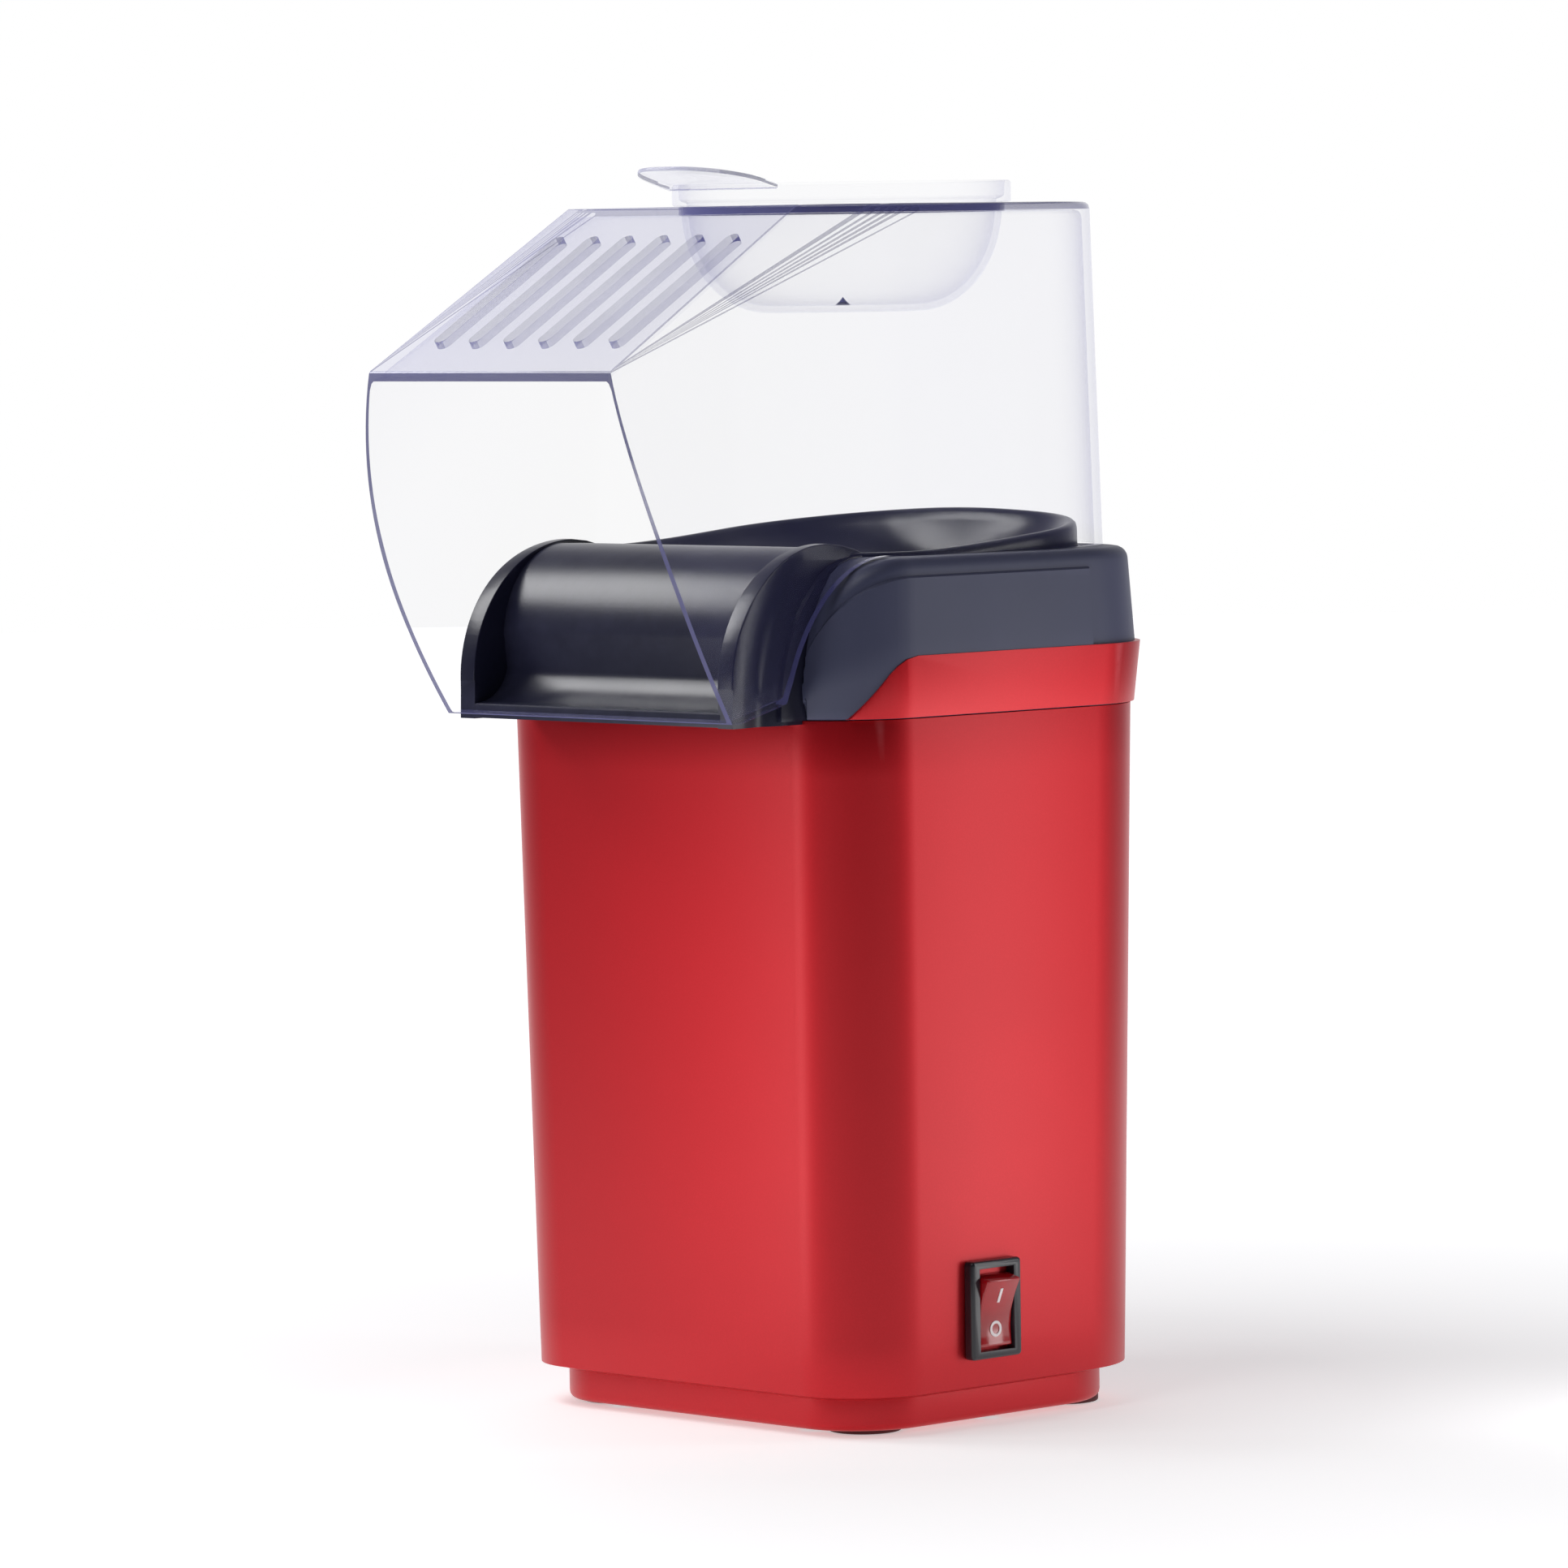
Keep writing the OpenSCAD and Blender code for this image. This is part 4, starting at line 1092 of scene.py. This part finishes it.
def add_grain(tree, surface, **values):
    """Gives a shader the fine moulding texture."""
    grain = use_group(tree, GRAIN, **values)
    for label in ("Roughness", "Normal"):
        tree.links.new(grain.outputs[label], surface.inputs[label])


def add_age(tree, surface, base, worn_color, dust_color, reach, wear_scale, dust_amount):
    """Puts worn edges and light dust over a base colour, and that on the shader."""
    wear = use_group(tree, WEAR, Reach=reach, Scale=wear_scale)
    worn = mix_color(tree, wear.outputs["Mask"], base, worn_color)
    dust = use_group(tree, DUST, Amount=dust_amount)
    dusty = mix_color(tree, dust.outputs["Mask"], worn, dust_color)
    tree.links.new(dusty, surface.inputs["Base Color"])


def mix_color(tree, factor, low, high):
    """Mixes two colours (or colour sockets) by a factor socket."""
    node = tree.nodes.new("ShaderNodeMix")
    node.data_type = "RGBA"
    tree.links.new(factor, node.inputs["Factor"])
    for socket, value in ((node.inputs[6], low), (node.inputs[7], high)):
        if isinstance(value, bpy.types.NodeSocket):
            tree.links.new(value, socket)
        else:
            socket.default_value = (*value, 1)
    return node.outputs[2]


def material(name, **shader):
    """A material with one Principled shader; the keywords fill its own sockets."""
    made = bpy.data.materials.new(name)
    made.use_nodes = True
    surface = made.node_tree.nodes["Principled BSDF"]
    for key, value in shader.items():
        label = key.replace("_", " ").title().replace("Ior", "IOR")
        socket = surface.inputs[label]
        socket.default_value = (*value, 1) if socket.type == "RGBA" else value
    return made, made.node_tree, surface


def linear(r, g, b):
    """Scene-linear colour from screen values of 0 to 255."""
    return tuple((c / 255 / 12.92) if c < 11 else ((c / 255 + 0.055) / 1.055) ** 2.4 for c in (r, g, b))

# %% [markdown]
# ## Metallic red paint
# The body's paint is a satin metallic red: fine flakes under a thin lacquer. Most of its light comes
# back as a broad reflection, so the faces turn from bright to deep red with the studio. The flakes are
# a small cell noise in the colour, and a slow noise gives the coat its slight unevenness.

# %% Red paint
def red_paint():
    made, tree, surface = material("metallic_red", metallic=0.92, coat_weight=0.5, coat_roughness=0.32)
    place = add(tree, "TexCoord")
    flakes = add(tree, "TexVoronoi", scale=2600.0)
    tree.links.new(place.outputs["Object"], flakes.inputs["Vector"])
    shade = mix_color(tree, flakes.outputs["Distance"], linear(200, 20, 32), linear(210, 26, 40))
    cloud = object_noise(tree, scale=16.0, detail=3.0)
    broad = mix_color(tree, cloud.outputs["Fac"], linear(194, 18, 30), shade)
    add_age(tree, surface, broad, linear(226, 92, 98), linear(205, 190, 186), 0.54, 260.0, 0.12)
    add_grain(tree, surface, Scale=1500.0, Depth=0.04, Roughness=0.5, Spread=0.06)
    return made


RED_PAINT = red_paint()

# %% [markdown]
# ## Black housing plastic
# The housing is moulded in a blue-black plastic with a satin gloss. Real mouldings show a fine orange
# peel and faint handling marks, so the gloss varies slowly and the surface carries a very fine bump.
# The housing shell gets a lighter copy of the plastic, painted light on its panels and corner; the
# chute, steps and collar get the darker copy.

# %% Black plastic
def black_plastic(name, color, roughness, coat):
    made, tree, surface = material(name, coat_weight=coat, coat_roughness=0.12)
    smudge = object_noise(tree, scale=34.0, detail=5.0, distortion=0.6)
    smudged = tuple(c * 1.25 + 0.002 for c in color)
    base = mix_color(tree, smudge.outputs["Fac"], color, smudged)
    worn_color = tuple(c * 2 + 0.015 for c in color)
    add_age(tree, surface, base, worn_color, linear(150, 150, 156), 0.53, 300.0, 0.1)
    add_grain(tree, surface, Scale=1100.0, Depth=0.07, Roughness=roughness, Spread=0.12)
    return made


BLACK = black_plastic("blue_black_plastic", linear(22, 23, 42), 0.3, 0.0)
# Painted light: this copy's base colour is lighter than the plastic's own, to light the panels and corner
SATIN_BLACK_PAINTED_LIT = black_plastic("satin_black_plastic_painted_lit", linear(66, 69, 94), 0.5, 0.0)
SWITCH_BLACK = black_plastic("switch_black", linear(24, 24, 32), 0.28, 0.2)

# %% [markdown]
# ## Clear plastic
# Polished clear polycarbonate is nearly invisible face on, and shows at its cut edges and where the
# wall turns away. Full refraction would darken everything behind it, so the wall is a thin tinted film
# whose alpha rises towards grazing angles. The cut rims and the folds, marked by an attribute on the
# mesh, are a deeper lavender grey and denser. A rim is told from a wall by looking inwards from each
# face: behind a wall the other skin is less than two walls away, behind a rim it is much farther.

# %% Clear plastic
SLOT_SIDE, SLOT_END = 0.42, 0.7
THICKEST = 2.7


def rim_strength(polygon):
    """Slot walls in the brow show less than the other rims, and their sides less than their ends."""
    center = polygon.center / MM
    if center.y < CROWN_Y and center.z > MOUTH_Z + 3:
        return SLOT_SIDE if abs(polygon.normal.x) > 0.7 else SLOT_END
    return RIM_LINE


def mark_rims(piece):
    """Writes a strength into the cut_edge attribute of every face with no skin close behind it."""
    mesh = piece.data
    tree = BVHTree.FromPolygons([v.co for v in mesh.vertices], [p.vertices for p in mesh.polygons])
    marks = mesh.attributes.get("cut_edge") or mesh.attributes.new("cut_edge", "FLOAT", "FACE")
    rims = 0
    for polygon in mesh.polygons:
        start = polygon.center - polygon.normal * 0.02 * MM
        far = tree.ray_cast(start, -polygon.normal, 1.0)[3]
        # a big level face is the crown, whose middle lies over the cup's hole
        crown = abs(polygon.normal.z) > 0.95 and polygon.area > 100 * MM * MM
        unmarked = marks.data[polygon.index].value < 0.1
        if unmarked and not crown and (far is None or far > THICKEST * MM):
            marks.data[polygon.index].value = rim_strength(polygon)
            rims += 1
    print(piece.name, "rim faces", rims, "of", len(mesh.polygons))


def clear_plastic(name, wall, edge, film, grazing, edge_alpha):
    made, tree, surface = material(name, ior=1.45, specular_ior_level=0.4)
    facing = add(tree, "LayerWeight", blend=0.25)
    turned = combined(tree, "POWER", facing.outputs["Facing"], 2.6)
    wall_alpha = ranged(tree, turned, to_min=film, to_max=film + grazing)
    rim = add(tree, "Attribute", attribute_name="cut_edge").outputs["Fac"]
    alpha = combined(tree, "ADD", wall_alpha, combined(tree, "MULTIPLY", rim, edge_alpha), clamp=True)
    tree.links.new(alpha, surface.inputs["Alpha"])
    cast = object_noise(tree, scale=9.0, detail=1.0)
    tint = mix_color(tree, cast.outputs["Fac"], wall, tuple(c * 0.94 for c in wall))
    tree.links.new(mix_color(tree, rim, tint, edge), surface.inputs["Base Color"])
    add_grain(tree, surface, Scale=420.0, Depth=0.02, Roughness=0.07, Spread=0.06)
    return made


CLEAR_COVER = clear_plastic("clear_cover_plastic", wall=linear(150, 150, 225), edge=linear(84, 84, 134),
                            film=0.025, grazing=0.75, edge_alpha=0.85)
CLEAR_CUP = clear_plastic("clear_cup_plastic", wall=linear(182, 184, 238), edge=linear(112, 114, 166),
                          film=0.015, grazing=0.6, edge_alpha=0.6)

# %% [markdown]
# ## Translucent red switch plastic
# The rocker is cast in red plastic that light passes through, so it glows a little deeper than its
# surface. Subsurface scattering with a red radius does that, under a smooth glossy skin.

# %% Rocker plastic and mark paint
def rocker_plastic():
    made, tree, surface = material("rocker_red_plastic", subsurface_weight=0.35, coat_weight=0.6,
                                   coat_roughness=0.06, subsurface_scale=0.002,
                                   subsurface_radius=(1.0, 0.12, 0.1))
    depth = object_noise(tree, scale=120.0, detail=2.0)
    color = mix_color(tree, depth.outputs["Fac"], linear(150, 4, 14), linear(205, 18, 30))
    tree.links.new(color, surface.inputs["Base Color"])
    add_grain(tree, surface, Scale=900.0, Depth=0.02, Roughness=0.14, Spread=0.04)
    return made


def plain_finish(name, dark, light, roughness, metallic=0.0, scale=80.0, depth=0.08, stretch=(1, 1, 1)):
    """A material for parts with one colour that varies slowly; stretch draws the noise along an axis."""
    made, tree, surface = material(name, metallic=metallic)
    place = add(tree, "TexCoord")
    mapping = add(tree, "Mapping")
    mapping.inputs["Scale"].default_value = stretch
    tree.links.new(place.outputs["Object"], mapping.inputs["Vector"])
    noise = add(tree, "TexNoise", scale=scale, detail=5.0)
    tree.links.new(mapping.outputs["Vector"], noise.inputs["Vector"])
    base = mix_color(tree, noise.outputs["Fac"], linear(*dark), linear(*light))
    worn_color = tuple(min(1, c * 1.5 + 0.04) for c in linear(*light))
    add_age(tree, surface, base, worn_color, linear(165, 160, 152), 0.55, 220.0, 0.15)
    add_grain(tree, surface, Scale=900.0, Depth=depth, Roughness=roughness, Spread=0.12)
    return made


ROCKER_RED = rocker_plastic()
MARK_WHITE = plain_finish("mark_white", (240, 214, 216), (255, 238, 238), 0.35)

# %% [markdown]
# ## Finishes of the inner parts
# The parts inside are seen through the cover, the slots and in exploded use, so each kind of part gets
# its own finish: spun aluminium with rings, bright zinc, mica with layers, woven fibre, nylon, copper
# and carbon. They share one function, with noise stretched along the way the part was worked.

# %% Inner finishes
INNER = {
    "steel_zinc": plain_finish("zinc_steel", (150, 152, 158), (196, 198, 202), 0.28, 1.0, 160.0),
    "chamber_aluminium": plain_finish("spun_aluminium", (168, 170, 174), (208, 210, 212), 0.3, 1.0, 90.0,
                                      0.05, stretch=(1, 1, 14)),
    "shield_tinplate": plain_finish("tinplate", (150, 152, 156), (186, 188, 190), 0.35, 1.0, 60.0),
    "white_nylon": plain_finish("natural_nylon", (214, 210, 196), (232, 228, 216), 0.5),
    "mica": plain_finish("mica_sheet", (150, 128, 92), (206, 186, 146), 0.35, 0.0, 140.0, 0.12,
                         stretch=(1, 1, 6)),
    "resistance_wire": plain_finish("oxidised_wire", (92, 84, 80), (140, 128, 120), 0.4, 1.0, 400.0),
    "fibre_seal": plain_finish("woven_fibre", (196, 190, 176), (224, 220, 208), 0.9, 0.0, 700.0, 0.4),
    "phenolic": plain_finish("phenolic", (52, 42, 38), (76, 62, 56), 0.45),
    "bush_bronze": plain_finish("sintered_bronze", (150, 112, 62), (190, 150, 92), 0.4, 1.0, 500.0),
    "copper": plain_finish("drawn_copper", (168, 98, 62), (206, 136, 92), 0.3, 1.0, 220.0),
    "carbon": plain_finish("pressed_carbon", (24, 24, 26), (44, 44, 47), 0.55),
    "ferrite": plain_finish("ferrite", (46, 46, 50), (66, 66, 70), 0.6),
    "board": plain_finish("paper_board", (150, 122, 66), (186, 156, 92), 0.5, 0.0, 200.0),
    "fan_plastic": plain_finish("fan_nylon", (44, 47, 54), (64, 68, 78), 0.4),
    "wire_dark": plain_finish("dark_insulation", (34, 34, 38), (56, 56, 62), 0.5),
    "wire_red": plain_finish("braided_sleeve", (122, 24, 20), (176, 52, 44), 0.75, 0.0, 600.0, 0.3),
    "rubber_foot": plain_finish("dark_red_rubber", (64, 10, 14), (92, 20, 24), 0.65, 0.0, 120.0, 0.2),
}
SLOTS = dict(INNER, red_metallic=RED_PAINT, black_plastic=BLACK, clear_plastic=CLEAR_COVER,
             switch_black=SWITCH_BLACK, rocker_red=ROCKER_RED)


def dress(piece, finish_made):
    piece.data.materials.clear()
    piece.data.materials.append(finish_made)


for row in frame["record"]["subparts"]:
    dress(frame["nodes"][row["node"]], SLOTS[row["material_slot"]])
for made, pieces in ((RED_PAINT, (body_shell, base_tray, trim_ring)), (INNER["rubber_foot"], (foot_pads,)),
                     (SATIN_BLACK_PAINTED_LIT, (upper_shell,)), (BLACK, (shoulder_steps, chute, collar_dish)),
                     (CLEAR_COVER, (clear_cover,)), (CLEAR_CUP, (measure_cup, cup_tongue)),
                     (SWITCH_BLACK, (switch_frame,)), (ROCKER_RED, (rocker_key,)),
                     (MARK_WHITE, (rocker_marks,))):
    for piece in pieces:
        dress(piece, made)
for piece in (clear_cover, measure_cup, cup_tongue):
    mark_rims(piece)
print("finishes", len(bpy.data.materials))

# %% [markdown]
# ## Floor and light
# The floor is a light table: pale, with a glow of its own that grows with the distance, so that it stays
# white to the horizon; near the maker the glow is dimmer, which paints a soft shadow round it. The studio
# is bright behind the maker and dark in front. A narrow soft box stands close to each broad face in its
# mirror direction, so that the face is bright in its middle and falls off to its edges, while the near
# corner mirrors the dark side and shows a deep stripe. A small box above the chute's far side draws the
# highlight across the slide, and a large one over the front fills the top.

# %% Floor
TABLE_WIDE, TABLE_NEAR, TABLE_FAR = 1.2, 0.72, 4.0
PAINTED_SHADOW_INNER, PAINTED_SHADOW_OUTER = 0.12, 0.5


def make_floor():
    bm = bmesh.new()
    bmesh.ops.create_grid(bm, x_segments=1, y_segments=1, size=0.5)
    bmesh.ops.scale(bm, vec=(TABLE_WIDE, TABLE_FAR + TABLE_NEAR, 1), verts=bm.verts)
    bmesh.ops.translate(bm, vec=(0, (TABLE_FAR - TABLE_NEAR) / 2, 0), verts=bm.verts)
    bmesh.ops.rotate(bm, cent=(0, 0, 0), matrix=Matrix.Rotation(VIEW_TURN, 3, "Z"), verts=bm.verts)
    mesh = bpy.data.meshes.new("floor")
    bm.to_mesh(mesh)
    bm.free()
    floor = bpy.data.objects.new("floor", mesh)
    bpy.context.collection.objects.link(floor)
    made, tree, surface = material("pale_floor", roughness=0.9, emission_strength=1.0)
    place = add(tree, "TexCoord")
    distance = add(tree, "VectorMath", operation="LENGTH")
    tree.links.new(place.outputs["Object"], distance.inputs[0])
    # Painted shadow: the floor's glow is 0.45 close to the maker and rises to 0.95 further out
    glow = ranged(tree, distance.outputs["Value"], from_min=PAINTED_SHADOW_INNER, from_max=PAINTED_SHADOW_OUTER)
    emission = mix_color(tree, glow, (0.45, 0.45, 0.45), (0.95, 0.95, 0.95))
    tree.links.new(emission, surface.inputs["Emission Color"])
    noise = object_noise(tree, scale=6.0, detail=2.0)
    color = mix_color(tree, noise.outputs["Fac"], (0.86, 0.86, 0.865), (0.88, 0.88, 0.882))
    tree.links.new(color, surface.inputs["Base Color"])
    dress(floor, made)


make_floor()


# %% Lights
def soft_box(name, place, aim, width, height, power):
    data = bpy.data.lights.new(name, "AREA")
    data.shape = "RECTANGLE"
    data.size, data.size_y = width, height
    data.energy = power
    lamp = bpy.data.objects.new(name, data)
    bpy.context.collection.objects.link(lamp)
    lamp.location = place
    lamp.rotation_euler = (Vector(aim) - Vector(place)).to_track_quat("-Z", "Y").to_euler()


soft_box("left_box", (-0.06, -0.19, 0.085), (0.016, -0.051, 0.085), 0.04, 0.16, 0.06)
soft_box("right_box", (0.19, 0.12, 0.10), (0.0585, -0.005, 0.10), 0.05, 0.3, 0.135)
soft_box("slide_box", (-0.193, -0.160, 0.345), (0, -0.08, 0.175), 0.13, 0.13, 0.4)
soft_box("top_box", (0.0, -0.45, 0.85), (0, -0.05, 0.17), 0.5, 0.25, 1.8)

# The studio's light along the view line, from straight behind the maker (0) to the eye (1)
BEHIND, FRONT = (0.03, (1.05, 1.05, 1.06, 1)), (0.85, (0.02, 0.02, 0.023, 1))
BETWEEN = ((0.14, 0.36), (0.42, 0.14), (0.6, 0.06))


def studio_world():
    """Lights the maker by direction, while every view itself sees plain white behind it."""
    world = bpy.data.worlds.new("studio")
    bpy.context.scene.world = world
    world.use_nodes = True
    tree = world.node_tree
    place = add(tree, "TexCoord")
    along = add(tree, "VectorMath", operation="DOT_PRODUCT")
    tree.links.new(place.outputs["Generated"], along.inputs[0])
    along.inputs[1].default_value = back
    fall = add(tree, "ValToRGB")
    tree.links.new(ranged(tree, along.outputs["Value"], from_min=-1.0), fall.inputs["Fac"])
    ramp = fall.color_ramp
    ramp.elements[0].position, ramp.elements[0].color = BEHIND
    ramp.elements[1].position, ramp.elements[1].color = FRONT
    for position, level in BETWEEN:
        ramp.elements.new(position).color = (level, level, level * 1.12, 1)
    path = add(tree, "LightPath")
    seen = mix_color(tree, path.outputs["Is Camera Ray"], fall.outputs["Color"], (1.0, 1.0, 1.0))
    tree.links.new(seen, tree.nodes["Background"].inputs["Color"])


studio_world()
bpy.context.scene.view_settings.view_transform = "Standard"
